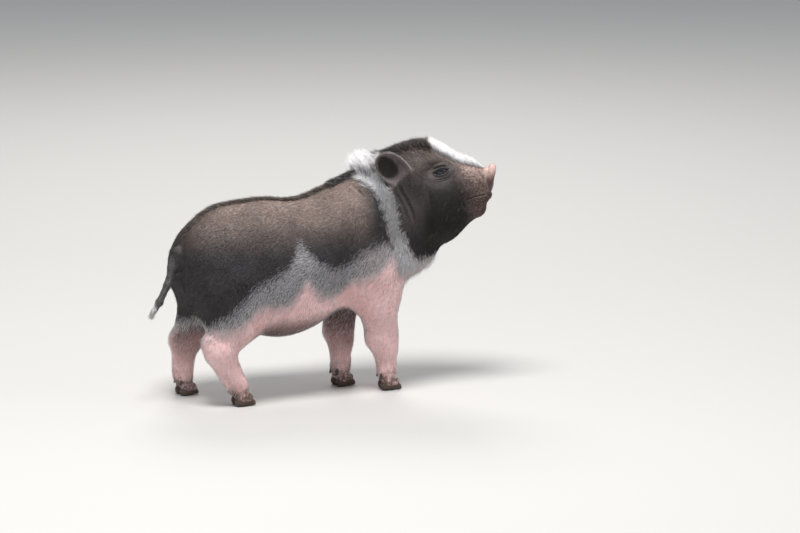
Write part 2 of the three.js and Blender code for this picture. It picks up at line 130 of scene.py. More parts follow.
# ------------------------------------------------------------------ the body: (kind, frame, shape..., blend)
TRUNK = [
    ("E", "b", (-60, 0, 150), (50, 44, 53), 0, 0, 0, 0), ("E", "b", (-24, 0, 144), (66, 50, 60.5), 0, 0, 0, 20),
    ("E", "b", (0, 0, 138), (74, 54, 63), 0, 0, 0, 20), ("E", "b", (-2, 0, 114.5), (62, 52, 49), -2, 0, 0, 22),
    ("E", "b", (56, 0, 151), (56, 47, 60), 6, 0, 0, 22), ("E", "b", (82, 0, 182), (44, 34, 38), 12, 0, 0, 22),
    ("E", "b", (-72, -23, 134), (38, 26, 43), -10, 0, 0, 18), ("E", "b", (-74, 23, 138), (38, 26, 40), 6, 0, 0, 18),
    ("E", "b", (82, -28, 154), (30, 21, 48), 12, 0, 0, 18), ("E", "b", (80, 28, 154), (30, 21, 48), 8, 0, 0, 18),
    ("E", "b", (114, -3, 182), (42, 37, 50), 20, -8, 0, 24), ("E", "b", (140, -9, 156.5), (36, 32, 34), 40, -10, 0, 20),
    ("E", "b", (123, -4, 140.5), (34, 31, 25), 40, -4, 0, 18),
]
HEAD = [
    ("E", "h", (14, 0, 220.5), (38, 32, 33), -8, 0, 0, 18), ("C", "h", (22, 0, 222.5), (72, 0, 217.2), 30.5, 16, 1.0, 18),
    ("E", "h", (36, -14, 207), (28, 19, 22), 12, 0, 0, 14), ("E", "h", (36, 14, 207), (28, 19, 22), 12, 0, 0, 14),
    ("E", "h", (24, -15, 190), (31, 20, 26), 20, 0, 0, 16), ("E", "h", (24, 15, 190), (31, 20, 26), 20, 0, 0, 16),
    ("E", "h", (20, 0, 184), (36, 28, 27), 25, 0, 0, 18), ("C", "h", (66, 0, 218), (86, 0, 219.5), 15.5, 13.2, 1.0, 9),
    ("C", "h", (44, 0, 184.5), (79, 0, 190.5), 22, 11.5, 1.0, 12), ("E", "h", (45, 0, 172), (22, 16, 16.5), 20, 0, 0, 14), ("E", "h", (82, 0, 200.5), (14, 11.5, 6.5), 14, 0, 0, 7),
    ("E", "h", (41, -20, 239.5), (15, 7, 6), -24, 12, 0, 8), ("E", "h", (41, 20, 239.5), (15, 7, 6), -24, -12, 0, 8),
    ("D", "h", (94.4, 0, 221.8), (3.4, 13.6, 14.6), -12, 0, 0, 4.0),
]
LEGS = {
    "fore_right": [("C", "b", (94, -34, 130), (97, -29, 104), 25, 22, .85, 0), ("C", "b", (98.5, -28, 104), (106.5, -21, 56), 22.5, 16, .85, 12),
                   ("C", "b", (107, -21, 56), (110.5, -20, 44), 15.5, 12.2, .92, 8), ("C", "b", (111, -20, 44), (113.5, -18, 22), 11.2, 10.6, .95, 6)],
    "fore_left": [("C", "b", (84, 34, 128), (79, 28, 104), 26, 23, .85, 0), ("C", "b", (80, 27, 104), (75, 22, 58), 22, 15, .85, 12),
                  ("C", "b", (75, 22, 58), (76.5, 20, 46), 14.6, 12, .92, 8), ("C", "b", (76.5, 20, 46), (76, 18.5, 22), 11.2, 10.6, .95, 6)],
    "hind_right": [("C", "b", (-64, -28, 118), (-62, -33, 96), 34, 28, .85, 0), ("C", "b", (-58, -34, 96), (-77, -36, 65), 28, 18.5, .85, 12),
                   ("C", "b", (-80, -36, 63), (-90, -36, 68), 15, 8.5, .9, 8), ("C", "b", (-79, -36, 56), (-61, -35, 22), 14.2, 11.6, .92, 8)],
    "hind_left": [("C", "b", (-72, 25, 118), (-77, 32, 90), 27, 19, .85, 0), ("C", "b", (-78, 33, 88), (-88, 36, 62), 19, 16.5, .85, 12),
                  ("C", "b", (-90, 36, 60), (-99, 36, 60), 14, 8.5, .9, 8), ("C", "b", (-93, 36, 52), (-94, 37, 22), 13, 10.8, .92, 8)],
}
FEET = {"fore_right": ((114.5, -17.5), -8, 1.0), "fore_left": ((76.5, 18.5), 4, 1.0), "hind_right": ((-55.5, -34.5), -4, 1.0), "hind_left": ((-91.5, 37), 6, 0.95)}
TAIL = [((-113, 0, 157), 6.5), ((-118, -1, 143), 4.4), ((-124, -2.5, 126), 3.4), ((-133, -3.5, 109), 2.8), ((-141, -4, 97), 2.3)]
EARS = {"r": ((5, -33.0, 222.0), (-0.66, -0.15, 0.73), (0.02, -0.98, -0.12)), "l": ((4, 29.0, 222.0), (-0.90, 0.42, 0.02), (0.10, 0.90, 0.42))}
EAR_L, EAR_W, EAR_CUP, EAR_T = 41.0, 15.0, 7.0, 2.7
EYE, EYE_R, EYE_TILT = (42.6, 17.6, 232.0), 8.5, math.radians(14.0)


def prim(P, p):
    Q = P if p[1] == "b" else to_head(P)
    if p[0] == "E":
        return ell(Q, p[2], p[3], p[4], p[5], p[6])
    if p[0] == "D":
        return plate(Q, p[2], p[3], p[4])
    return cone(Q, p[2], p[3], p[4], p[5], p[6])


def reach(p):
    a = np.array(p[2], float)
    if p[0] in "ED":
        c, r = a, max(p[3])
    else:
        b = np.array(p[3], float)
        c, r = (a + b) / 2, np.linalg.norm(a - b) / 2 + max(p[4], p[5])
    return (from_head(c) if p[1] == "h" else c), r


def union(P, prims, F=None):
    F = np.full(P.shape[:-1], 1e3) if F is None else F
    for p in prims:
        k = max(p[-1], 1e-3)
        c, r = reach(p)
        near = np.abs(P - c).max(-1) < r + k + 6
        if near.any():
            F[near] = smin(F[near], prim(P[near], p), k)
    return F


def foot_frame(P, leg):
    (fx, fy), yw, s = FEET[leg]
    a = math.radians(yw)
    x, y = P[..., 0] - fx, P[..., 1] - fy
    return np.stack([(x * math.cos(a) + y * math.sin(a)) / s, (-x * math.sin(a) + y * math.cos(a)) / s, P[..., 2] / s], -1), s


def foot_skin(P, leg):
    q, s = foot_frame(P, leg)
    F = None
    for sd in (-1, 1):
        for a, b, ra, rb in (((-1.5, sd * 4.6, 19), (-0.5, sd * 5.6, 9.5), 6.8, 6.2), ((-0.5, sd * 5.6, 9.5), (6.5, sd * 5.2, 8.5), 6.2, 4.6)):
            f = cone(q, a, b, ra, rb)
            F = f if F is None else smin(F, f, 3)
    return F * s


def claw(P, leg, sd):
    q, s = foot_frame(P, leg)
    f = cone(q, (-3.4, sd * 6.0, 4.2), (12.2, sd * 4.4, 2.0), 5.4, 1.7)
    f = smin(f, cone(q, (-2.2, sd * 6.0, 9.0), (12.0, sd * 4.4, 2.4), 5.0, 1.8), 2)
    f = smin(f, cone(q, (2.6, sd * 5.6, 12.5), (11.6, sd * 4.5, 3.0), 4.5, 1.8), 2)
    f = smax(f, -(sd * q[..., 1] - 0.7), 1.0)
    f = smax(f, q[..., 2] - (10.2 + 0.26 * q[..., 0]), 1.5)
    f = f + 0.12 * np.sin(q[..., 2] * 2.4 + 0.9 * q[..., 0]) * step(q[..., 2], 1.0, 3.0)   # growth rings
    return smax(f, -q[..., 2], 0.0001) * s


def dewclaw(P, leg, sd):
    q, s = foot_frame(P, leg)
    return cone(q, (-6.4, sd * 6.6, 18.5), (-9.4, sd * 7.4, 12.8), 3.0, 1.1) * s


def ear_frame(side):
    base, tip, out = [np.array(v, float) for v in EARS[side]]
    a = tip / np.linalg.norm(tip)
    n = out - a * (out @ a)
    n /= np.linalg.norm(n)
    return base, a, np.cross(n, a), n


def ear_uvh(P, side):
    base, a, b, n = ear_frame(side)
    q = to_head(P) - base
    t, v, h = q @ a, q @ b, q @ n
    ts = np.clip(t / EAR_L, 0, 1)
    y = (v + (1.0 - ts) * 1.5) / EAR_W
    c = EAR_CUP * (1 - 0.45 * ts)
    mid = c * (np.clip(y, -1.3, 1.3) ** 2 - 0.55) - 2.2 * np.sin(np.pi * ts) + 3.0 * ts * ts
    return t, ts, y, h - mid, c


def ear(P, side):
    t, ts, y, dh, c = ear_uvh(P, side)
    tc, ha = 0.47 * EAR_L, 0.53 * EAR_L
    x = (t - tc) / ha
    e, g = np.sqrt(x * x + y * y), np.sqrt((x / ha) ** 2 + (y / EAR_W) ** 2)
    d2 = e * (e - 1) / np.maximum(g, 1e-6)
    sl = np.sqrt(1 + (2 * c * np.clip(y, -1.3, 1.3) / EAR_W) ** 2)
    th = EAR_T * 0.5 + 1.0 * np.clip(1 - ts * 2.4, 0, 1)
    ribs = 0.22 * np.sin(y * 9.0 + 1.0) * step(dh, 0.2, 0.8) * (1 - ts) * step(1 - np.abs(y), 0.1, 0.4)   # cartilage ridges inside
    return np.hypot(np.maximum(d2 + th, 0), dh / sl) - th + ribs


def groove(P, pts, depth, width):
    """A crease along a path: a narrow valley between two soft rolls, fading at both ends."""
    best, amp, n = np.full(P.shape[:-1], 1e9), np.ones(P.shape[:-1]), len(pts) - 1
    for i, (a, b) in enumerate(zip(pts, pts[1:])):
        a, b = np.array(a, float), np.array(b, float)
        d = b - a
        h = np.clip(((P - a) @ d) / (d @ d), 0, 1)
        dd = ((P - a - h[..., None] * d) ** 2).sum(-1)
        near = dd < best
        best = np.where(near, dd, best)
        amp = np.where(near, np.sin(np.pi * np.clip(0.05 + 0.90 * (i + h) / n, 0, 1)) ** 0.6, amp)
    return depth * amp * (np.exp(-best / (width * width)) - 0.42 * np.exp(-best / (width * 3.0) ** 2))


# creases of the skin on its right side: path, depth, width; each also runs on the left side
CREASES = [
    ([(72, -14, 226), (84, -20, 222), (91, -28, 216), (95, -38, 206), (96, -45, 194), (95, -47, 183)], 3.8, 2.1),
    ([(72, -17, 222), (78, -26, 216), (82, -33, 208)], 1.3, 1.6),
    ([(119, -36, 221), (122, -38, 212), (127, -42, 202), (131, -45, 192), (133, -47, 181)], 3.2, 1.8),
    ([(112, -35, 220), (117, -38, 210), (122, -42, 199), (124, -44, 188)], 2.3, 1.6),
    ([(148, -49, 216), (149, -51, 204), (151, -51, 190)], 0.9, 2.4),
    ([(56, -50, 196), (58, -52, 180), (60, -52, 164)], 1.1, 3.0), ([(44, -50, 192), (46, -53, 176), (48, -53, 160)], 0.9, 3.2), ([(32, -49, 188), (34, -53, 174), (36, -53, 162)], 0.6, 3.2),
    ([(68, -49, 122), (70, -44, 112), (74, -38, 102)], 1.3, 3.0), ([(-60, -58, 96), (-50, -56, 86), (-46, -50, 78)], 1.2, 4.0),
    ([(128, -20, 104), (118, -36, 112), (112, -46, 122)], 1.1, 3.0),
]


def skin(P):
    core = union(P, HEAD, union(P, TRUNK))
    best = core.copy()
    for leg, prims in LEGS.items():
        lo = np.array([min(min(p[2][i], p[3][i]) - max(p[4], p[5]) for p in prims) for i in range(3)]) - 30
        hi = np.array([max(max(p[2][i], p[3][i]) + max(p[4], p[5]) for p in prims) for i in range(3)]) + 30
        near = ((P > lo) & (P < hi)).all(-1)
        if near.any():
            Q, L = P[near], None
            for p in prims:
                f = prim(Q, p)
                L = f if L is None else smin(L, f, p[-1])
            L = smin(L, foot_skin(Q, leg), 5)
            best[near] = np.minimum(best[near], smin(core[near], L, 22))
    near = np.abs(P - np.array((-126, -2, 125))).max(-1) < 52
    if near.any():
        Q, F = P[near], None
        for (a, ra), (b, rb) in zip(TAIL, TAIL[1:]):
            f = cone(Q, a, b, ra, rb)
            F = f if F is None else smin(F, f, 3)
        best[near] = smin(best[near], F, 7)
    for sd in "rl":
        near = np.abs(P - from_head(EARS[sd][0])).max(-1) < 60
        if near.any():
            best[near] = smin(best[near], ear(P[near], sd), 3.5)
    return best


def eye_st(q):
    u, z = q[..., 0] - EYE[0], q[..., 2] - EYE[2]
    return u * math.cos(EYE_TILT) + z * math.sin(EYE_TILT), -u * math.sin(EYE_TILT) + z * math.cos(EYE_TILT)


def mouth_z(u):
    return 200.9 + (u - 71) * 0.235 + 0.7 * np.sin(np.clip((u - 70) / 26, 0, 1) * np.pi)


def lens(s, t, L, H):
    R = (H * H + L * L) / (2 * H)
    return np.maximum(np.hypot(s, t - (R - H)) - R, np.hypot(s, t + (R - H)) - R)


def features(P, F):
    q = to_head(P)
    near = (np.abs(F) < 12) & (q[..., 0] > 8) & (q[..., 0] < 106) & (P[..., 2] > 150)
    if near.any():
        G, h = F[near], q[near]
        for sd in (-1, 1):
            side = h[:, 1] * sd > 6
            e1 = h[:, 1] - sd * EYE[1]
            r = np.sqrt((h[:, 0] - EYE[0]) ** 2 + e1 ** 2 + (h[:, 2] - EYE[2]) ** 2)
            s, t = eye_st(h)
            G = np.where(side, smax(G, -ell(h, (44.0, sd * 34.8, 232.0), (17, 9.5, 11.5), 12), 9.0), G)
            G = np.where(side, smin(G, np.sqrt(s * s / 1.15 + t * t * 1.05 + e1 ** 2) - (EYE_R + 1.5), 4.5), G)
            for a, b, dep, wid, sg in ((9.8, 5.6, 1.7, 0.85, 1), (9.8, 5.4, 1.2, 0.75, -1), (11.4, 7.7, 1.0, 0.80, -1), (13.0, 10.2, 0.6, 0.95, -1), (13.5, 9.2, 0.5, 1.1, 1)):
                dist = (np.sqrt((s / a) ** 2 + (t / b) ** 2) - 1) * min(a, b) * 1.2
                w = np.clip(1 - np.abs(s / a) ** 3, 0, 1) * step(sg * t, 0.6, 2.6)
                G = G + np.where(side, dep * w * (bell(dist, wid) - 0.35 * bell(dist, 2.4 * wid)), 0)
            G = G + np.where(side, 0.9 * bell(t - 0.25, 0.7) * step(s, 5.5, 7.2) * step(-s, -12.0, -8.0), 0)
            G = G + np.where(side, 0.7 * bell(t + 0.10, 0.7) * step(-s, 5.5, 7.2) * step(s, -11.0, -8.0), 0)
            G = G + np.where(side, groove(h, [(24.5, sd * 34.0, 222), (27.0, sd * 34.0, 212), (30.8, sd * 33.5, 200), (36.0, sd * 31.0, 184)], 1.5, 3.0), 0)
            G = smax(G, -np.maximum(lens(s, t, 7.4, 2.9), -(h[:, 1] * sd - 8)), 0.8)
            G = np.maximum(G, -(r - (EYE_R + 0.12)))
            G = smax(G, -ell(h, (98.6, sd * 5.6, 221.6), (8, 2.7, 3.6), -12, sd * 10), 1.6)
            G = G - 0.5 * bell(np.sqrt((h[:, 0] - 92) ** 2 + (h[:, 1] - sd * 12) ** 2 + (h[:, 2] - 222) ** 2), 4.0)
        G = smax(G, -ell(h, (103.2, 0, 222.4), (5.4, 10.5, 11.5), -12), 1.5)
        dz, w = h[:, 2] - mouth_z(h[:, 0]), step(h[:, 0], 67.0, 71.5)
        G = G + w * (1 - 0.6 * step(h[:, 0], 86, 92)) * (1.7 * bell(dz, 0.75) - 0.55 * bell(dz, 3.0))
        for u0 in (66.0, 72.0, 78.0, 83.0, 87.0):
            G = G + 0.30 * bell(h[:, 0] - u0 - 0.10 * np.abs(h[:, 1]) - (h[:, 2] - 230) * 0.12, 1.1) * step(h[:, 2], 218, 226)
        cf = h[:, 0] - (66.5 - 0.004 * (h[:, 2] - 190) ** 2 - 1.5 * np.sin((h[:, 2] - 190) * 0.12))
        G = G + 0.8 * bell(cf, 1.6) * step(h[:, 2], 188, 195) * step(-h[:, 2], -212, -203) * step(np.abs(h[:, 1]), 6, 10)
        for k, (z0, dep) in enumerate(((236.0, 0.5), (241.0, 0.45), (246.5, 0.35))):       # brow folds
            cc = h[:, 2] - z0 - 0.25 * (h[:, 0] - 36)
            G = G + dep * bell(cc, 1.3) * bell(h[:, 0] - 37, 11) * step(np.abs(h[:, 1]), 10, 15)
        F = F.copy()
        F[near] = G
    for pts, dep, wid in CREASES:
        a = np.array(pts, float)
        for sd in (1, -1):
            p = a * np.array([1, sd, 1])
            if sd < 0:                                         # the neck's bend shuts the folds on its right and opens those on its left
                p = p + np.array([2.0, 0, 0])
            lo, hi = p.min(0) - 14, p.max(0) + 14
            near = ((P > lo) & (P < hi)).all(-1) & (np.abs(F) < 12)
            if near.any():
                F[near] = F[near] + groove(P[near], list(p), dep * (1.0 if sd > 0 else 0.7), wid)
    # soft unevenness of flesh under the skin
    near = (np.abs(F) < 12) & (P[..., 2] > 30)
    Q = P[near]
    F[near] = F[near] + 0.35 * np.sin(Q[:, 0] * 0.11 + 1.3 * np.sin(Q[:, 2] * 0.07)) * np.sin(Q[:, 2] * 0.13 + Q[:, 1] * 0.05) \
        + 0.22 * np.sin(Q[:, 0] * 0.27 + 0.9 * np.sin(Q[:, 2] * 0.11 + 1.0)) * step(Q[:, 0], 20, 60) * step(Q[:, 2], 120, 160)
    return F


def full(P):
    return features(P, skin(P))


# ------------------------------------------------------------------ a closed surface round a field, on a grid with its own spacing along each axis
def nets(V, X, Y, Z):
    S = V < 0
    nx, ny, nz = V.shape
    c = np.zeros((nx - 1, ny - 1, nz - 1), np.int8)
    for i in (0, 1):
        for j in (0, 1):
            for k in (0, 1):
                c += S[i:nx - 1 + i, j:ny - 1 + j, k:nz - 1 + k]
    act = (c > 0) & (c < 8)
    I = np.argwhere(act)
    idx = np.full(act.shape, -1, np.int64)
    idx[act] = np.arange(len(I))
    acc, cnt, A = np.zeros((len(I), 3)), np.zeros(len(I)), (X, Y, Z)
    for p in [(i, j, k) for i in (0, 1) for j in (0, 1) for k in (0, 1)]:
        for ax in range(3):
            if p[ax] == 0:
                q = list(p); q[ax] = 1
                va = V[I[:, 0] + p[0], I[:, 1] + p[1], I[:, 2] + p[2]]
                vb = V[I[:, 0] + q[0], I[:, 1] + q[1], I[:, 2] + q[2]]
                hit = (va < 0) != (vb < 0)
                t = np.where(hit, va / np.where(va - vb == 0, 1, va - vb), 0)
                pos = np.stack([A[d][I[:, d] + p[d]] + (A[d][I[:, d] + q[d]] - A[d][I[:, d] + p[d]]) * t for d in range(3)], -1)
                acc += pos * hit[:, None]
                cnt += hit
    quads = []
    for ax in range(3):
        s0, s1 = [slice(None)] * 3, [slice(None)] * 3
        s0[ax], s1[ax] = slice(0, -1), slice(1, None)
        a, b = S[tuple(s0)], S[tuple(s1)]
        E = np.argwhere(a != b)
        b1, b2 = (ax + 1) % 3, (ax + 2) % 3
        E = E[(E[:, b1] > 0) & (E[:, b2] > 0) & (E[:, b1] < V.shape[b1] - 1) & (E[:, b2] < V.shape[b2] - 1)]
        inside = a[E[:, 0], E[:, 1], E[:, 2]]
        ring = []
        for d1, d2 in ((0, 0), (1, 0), (1, 1), (0, 1)):
            w = E.copy(); w[:, b1] -= d1; w[:, b2] -= d2
            ring.append(idx[w[:, 0], w[:, 1], w[:, 2]])
        Q = np.stack(ring, -1)
        Q[~inside] = Q[~inside][:, ::-1]
        quads.append(Q)
    return acc / cnt[:, None], np.concatenate(quads)


def spaced(parts):
    """Coordinates along an axis from (start, end, spacing) runs."""
    out = []
    for a, b, h in parts:
        n = max(int(round((b - a) / h)), 1)
        out += list(np.linspace(a, b, n, endpoint=False))
    return np.array(out + [parts[-1][1]])


def banded(F, X, Y, Z, block=5, margin=1.9):
    """The field on a grid, worked out in full only in blocks the surface may cross."""
    V = np.full((len(X), len(Y), len(Z)), 99.0)
    bx, by, bz = [np.minimum(np.arange(0, len(A) + block - 1, block), len(A) - 1) for A in (X, Y, Z)]
    for i in range(len(bx) - 1):
        i0, i1 = bx[i], bx[i + 1]
        C = np.stack(np.meshgrid([(X[i0] + X[i1]) / 2], (Y[by[:-1]] + Y[by[1:]]) / 2, (Z[bz[:-1]] + Z[bz[1:]]) / 2, indexing="ij"), -1)
        f = skin(C)[0]
        half = 0.5 * np.sqrt((X[i1] - X[i0]) ** 2 + (Y[by[1:]] - Y[by[:-1]])[:, None] ** 2 + (Z[bz[1:]] - Z[bz[:-1]])[None] ** 2)
        near = np.abs(f) < half * margin + 3.5
        mask = np.zeros((len(Y), len(Z)), bool)
        for j, k in np.argwhere(near):
            mask[by[j]:by[j + 1] + 1, bz[k]:bz[k + 1] + 1] = True
        sign = np.zeros((len(Y), len(Z)))
        for j in range(len(by) - 1):
            for k in range(len(bz) - 1):
                sign[by[j]:by[j + 1] + 1, bz[k]:bz[k + 1] + 1] = np.sign(f[j, k])
        J, K = np.nonzero(mask)
        xs = X[i0:i1 + 1]
        P = np.empty((len(xs), len(J), 3))
        P[..., 0], P[..., 1], P[..., 2] = xs[:, None], Y[J][None], Z[K][None]
        part = np.where(sign >= 0, 99.0, -99.0)[None].repeat(len(xs), 0)
        part[:, J, K] = F(P.reshape(-1, 3)).reshape(len(xs), len(J))
        V[i0:i1 + 1] = part
    return V


def gradient(F, P, h=0.12):
    f = F(P)
    return f, np.stack([(F(P + h * e) - f) / h for e in np.eye(3)], -1)


def snap(F, v, n=2, most=0.5):
    for _ in range(n):
        f, g = gradient(F, v)
        v = v - np.clip(f, -most, most)[:, None] * g / np.maximum((g ** 2).sum(-1, keepdims=True), 0.25)
    return v


def vertex_normals(v, q):
    n = np.zeros_like(v)
    fn = np.cross(v[q[:, 2]] - v[q[:, 0]], v[q[:, 3]] - v[q[:, 1]])
    for k in range(4):
        np.add.at(n, q[:, k], fn)
    return n / np.maximum(np.linalg.norm(n, axis=1, keepdims=True), 1e-9)


# ------------------------------------------------------------------ markings, as functions of the place on the body
def noise(P, f, seed=0.0):
    """Smooth value noise between -1 and 1, cheap and repeatable."""
    Q = P * f + seed
    I = np.floor(Q)
    t = Q - I
    t = t * t * (3 - 2 * t)
    out = np.zeros(P.shape[:-1])
    for c in [(i, j, k) for i in (0, 1) for j in (0, 1) for k in (0, 1)]:
        n = I + np.array(c)
        r = np.sin(n[..., 0] * 127.1 + n[..., 1] * 311.7 + n[..., 2] * 74.7) * 43758.5453
        w = np.prod([t[..., d] if c[d] else 1 - t[..., d] for d in range(3)], axis=0)
        out += w * (r - np.floor(r))
    return out * 2 - 1


# height of the dark saddle's lower edge, and of the pink's upper edge, along the body
SADDLE = ([-125, -104, -92, -80, -66, -56, -44, -30, -16, -8, -2, 2, 5, 10, 17, 24, 32, 44, 55, 66, 76, 88, 99, 108, 120],
          [84, 84, 88, 98, 110, 120, 128, 134, 139, 145, 155, 166, 171, 166, 157, 150, 144, 140, 141, 150, 156, 158, 161, 168, 178])
PINK = ([-125, -104, -90, -78, -68, -58, -46, -34, -24, -12, -5, 2, 7, 10, 15, 22, 30, 40, 50, 58, 64, 74, 84, 96, 106, 114, 125],
        [72, 76, 82, 84, 88, 94, 104, 107, 105, 107, 112, 121, 129, 131, 127, 119, 114, 111, 114, 121, 127, 128, 133, 141, 147, 152, 150])


def marks(P):
    """dark, roan, pink, collar, blaze, snout, ear and so on, each from 0 to 1, at points on the skin."""
    x, y, z = P[:, 0], P[:, 1], P[:, 2]
    q = to_head(P)
    u, v = q[:, 0], q[:, 1]
    far = step(y, -8, 8)
    wob = 3.2 * noise(P, 0.055, 3.1) + 1.6 * noise(P, 0.16, 7.7)
    jit = 2.2 * noise(P, 0.45, 1.9) + 1.8 * noise(P, 0.9, 5.1)
    # the far side has the same pattern, a little further back and lower
    xs = x + far * (6.0 + 5.0 * np.sin(z * 0.05))
    up = z - np.interp(xs, *SADDLE) + wob * (0.5 + 0.9 * far) + far * 4.0
    lo = z - np.interp(xs, *PINK) + wob * (0.5 + 0.9 * far) + far * 3.0
    dark = step(up + jit * 0.9, -9.0, 5.0)
    pinkd = 1 - step(lo + jit * 0.9, -6.0, 6.0)
    frost = (1 - step(up + 0.7 * jit, -12, 8)) * (0.16 + 0.84 * step(lo + 0.7 * jit, -13, 3))      # share of white hairs
    # the head and neck are dark down to the throat, the chest below is roan
    chest = step(x + 0.55 * (z - 150), 104, 116)
    thr = z - (139 - 0.10 * (x - 120)) + jit + wob
    frost_c = (1 - step(thr + 0.5 * jit, -6, 14)) * (0.25 + 0.75 * step(z - (125 + 0.25 * (x - 110)) + 0.7 * jit, -10, 6))
    dark = dark * (1 - chest) + chest * step(thr, -6, 12)
    frost = frost * (1 - chest) + chest * frost_c
    breast = z - (125 + 0.25 * (x - 110)) + jit + wob
    pinkd = pinkd * (1 - chest) + chest * (1 - step(breast, -6, 6))
    # hind legs: the dark runs down to the hock's front on the thigh; this mask of the rear from x = -28 back to -44 is
    # not used below
    hind = step(-x, 28, 44)
    # white collar: from the nape down in front of the shoulder into the chest
    cx = np.interp(z, [120, 140, 160, 180, 200, 215, 226, 240], [127, 122, 117.7, 112.3, 107.2, 102.4, 97.0, 93.5]) + wob * 0.6
    cw = np.interp(z, [120, 140, 160, 180, 200, 215, 226, 240], [16, 13, 10.0, 8.5, 8.8, 10.0, 13.5, 16]) * (1 + 0.22 * noise(P, 0.12, 9.0))
    collar = 1 - step(np.abs(x - cx) + 1.1 * jit, cw * 0.15, cw * 1.25)
    collar = collar * step(z, 112, 132)
    # white blaze from the crown's front down the bridge
    bw = np.interp(u, [24, 33, 42, 54, 66, 78, 92], [0.0, 7.5, 8.5, 7.0, 5.5, 4.5, 2.5])
    blaze = (1 - step(np.abs(v + 1.0) + 0.6 * jit, bw * 0.5, bw * 1.25 + 0.6)) * step(u + 0.8 * jit, 29, 35) * step(z, 222, 226)
    snout = step(u + 0.22 * (z - 215) + 1.6 * jit + 0.6 * wob, 58, 88) * step(z, 168, 180)
    disc = step(u + 0.21 * (z - 221), 88.5, 91.0) * step(z, 205, 208.5)
    ears, inner, rim, concha = [np.zeros(len(P)) for _ in range(4)]
    for sd in "rl":
        t, ts, ye, dh, c = ear_uvh(P, sd)
        on = step(t, 2, 8) * (1 - step(np.abs(dh), 3.5, 5.0)) * (1 - step(np.abs(ye), 1.15, 1.3)) * (1 - step(t, 39, 44))
        ears = np.maximum(ears, on)
        inner = np.maximum(inner, on * step(dh, 0.0, 0.8))
        ed = np.sqrt(((t - 0.47 * EAR_L) / (0.53 * EAR_L)) ** 2 + ye ** 2)
        rim = np.maximum(rim, on * step(ed, 0.80, 0.97))
        # the ear's cup, which the skin colour paints near black as its shade
        yf = ye if sd == "r" else -ye
        concha = np.maximum(concha, on * (1 - step(np.sqrt(((t - 26) / 18) ** 2 + ((yf - 0.26) / 0.76) ** 2), 0.72, 1.06)))
    tail = step(-x, 114, 120) * step(-z, -160, -150)
    tail_tip = step(-x, 136.5, 140.5)
    tail = np.maximum(tail, step(-x, 128, 132))
    dark = np.where(tail > 0.5, 1.0, dark)
    pinkd = np.where(tail > 0.5, 0.0, pinkd)
    head = step(u, -12, 6) * step(z, 165, 175)
    dark = np.maximum(dark, np.maximum(head * (z > 165), ears))
    pinkd = pinkd * (1 - head)
    dark = dark * (1 - 0.85 * snout)
    roan = np.clip(1 - dark - pinkd, 0, 1) * (1 - snout)
    frost = np.maximum(frost, 0.75 * collar) * (1 - head) * (1 - ears) * (1 - tail)
    foot = 1 - step(z + 4.0 * noise(P, 0.22, 41.0), 12, 27)
    # round the eye, mouth and nostrils
    s, t = eye_st(q)
    eye_d = np.sqrt((s / 9.0) ** 2 + (t / 4.2) ** 2)
    lid = (1 - step(eye_d, 0.84, 1.02)) * (np.abs(v) > 12)
    # the roll of skin round the eye: greyer lid skin with a painted highlight on it
    lid_skin_and_highlight = bell(eye_d - 1.28, 0.26) * (np.abs(v) > 12)
    # fold lines round the eye, which the skin colour darkens as painted shade
    fold = np.zeros(len(P))
    for a, b, w_, sg in ((9.8, 5.6, 1.0, 1), (9.8, 5.4, 0.8, -1), (11.4, 7.7, 0.7, -1), (13.0, 10.2, 0.35, -1)):
        dist = (np.sqrt((s / a) ** 2 + (t / b) ** 2) - 1) * b * 1.2
        fold = np.maximum(fold, w_ * bell(dist, 0.62) * np.clip(1 - np.abs(s / a) ** 3, 0, 1) * step(sg * t, 0.6, 2.6))
    fold = fold * (np.abs(v) > 12) * step(z, 215, 220)
    mouth = bell(z - mouth_z(u) - 0.2, 0.9) * step(u, 66, 72) * (1 - step(u, 88, 92)) * (z > 190)
    nost = np.zeros(len(P))
    for sd in (-1, 1):
        nost = np.maximum(nost, bell(np.sqrt((v - sd * 5.6) ** 2 + ((z - 221.0) * 0.8) ** 2), 3.2) * (u > 88))
    # the neck creases, which the skin colour darkens as painted shade
    crease = np.zeros(len(P))
    for pts, dep, wid in CREASES[:4]:
        a = np.array(pts, float)
        for sd in (1, -1):
            p = a * np.array([1, sd, 1]) + (np.array([2.0, 0, 0]) if sd < 0 else 0)
            near = ((P > p.min(0) - 8) & (P < p.max(0) + 8)).all(-1)
            if near.any():
                crease[near] = np.maximum(crease[near], np.clip(groove(P[near], list(p), 1.0, wid * 1.1), 0, 1))
    belly = 1 - step(z, 70, 100)
    return dict(frost=frost, dark=dark, pink=pinkd, roan=roan, collar=collar, blaze=blaze, snout=snout, disc=disc, lid_skin_and_highlight=lid_skin_and_highlight, fold=fold, ears=ears, inner=inner, rim=rim, concha=concha,
                tail=tail, tailtip=tail_tip, foot=foot, lid=lid, mouth=mouth, nost=nost, crease=crease, head=head, belly=belly)


# ------------------------------------------------------------------ the skin
GX = spaced([(-154, -100, 1.85), (-100, 90, 2.35), (90, 128, 1.35), (128, 156, 1.25), (156, 192, 0.80), (192, 214, 1.15), (214, 234, 0.90)])
GY = spaced([(-70, 66, 1.5)])
GZ = spaced([(1.2, 26, 1.35), (26, 176, 2.2), (176, 196, 1.6), (196, 221, 1.08), (221, 242, 0.74), (242, 264, 1.08)])
V = banded(full, GX, GY, GZ)
sv, sq = nets(V, GX, GY, GZ)
del V
sv = snap(full, sv)
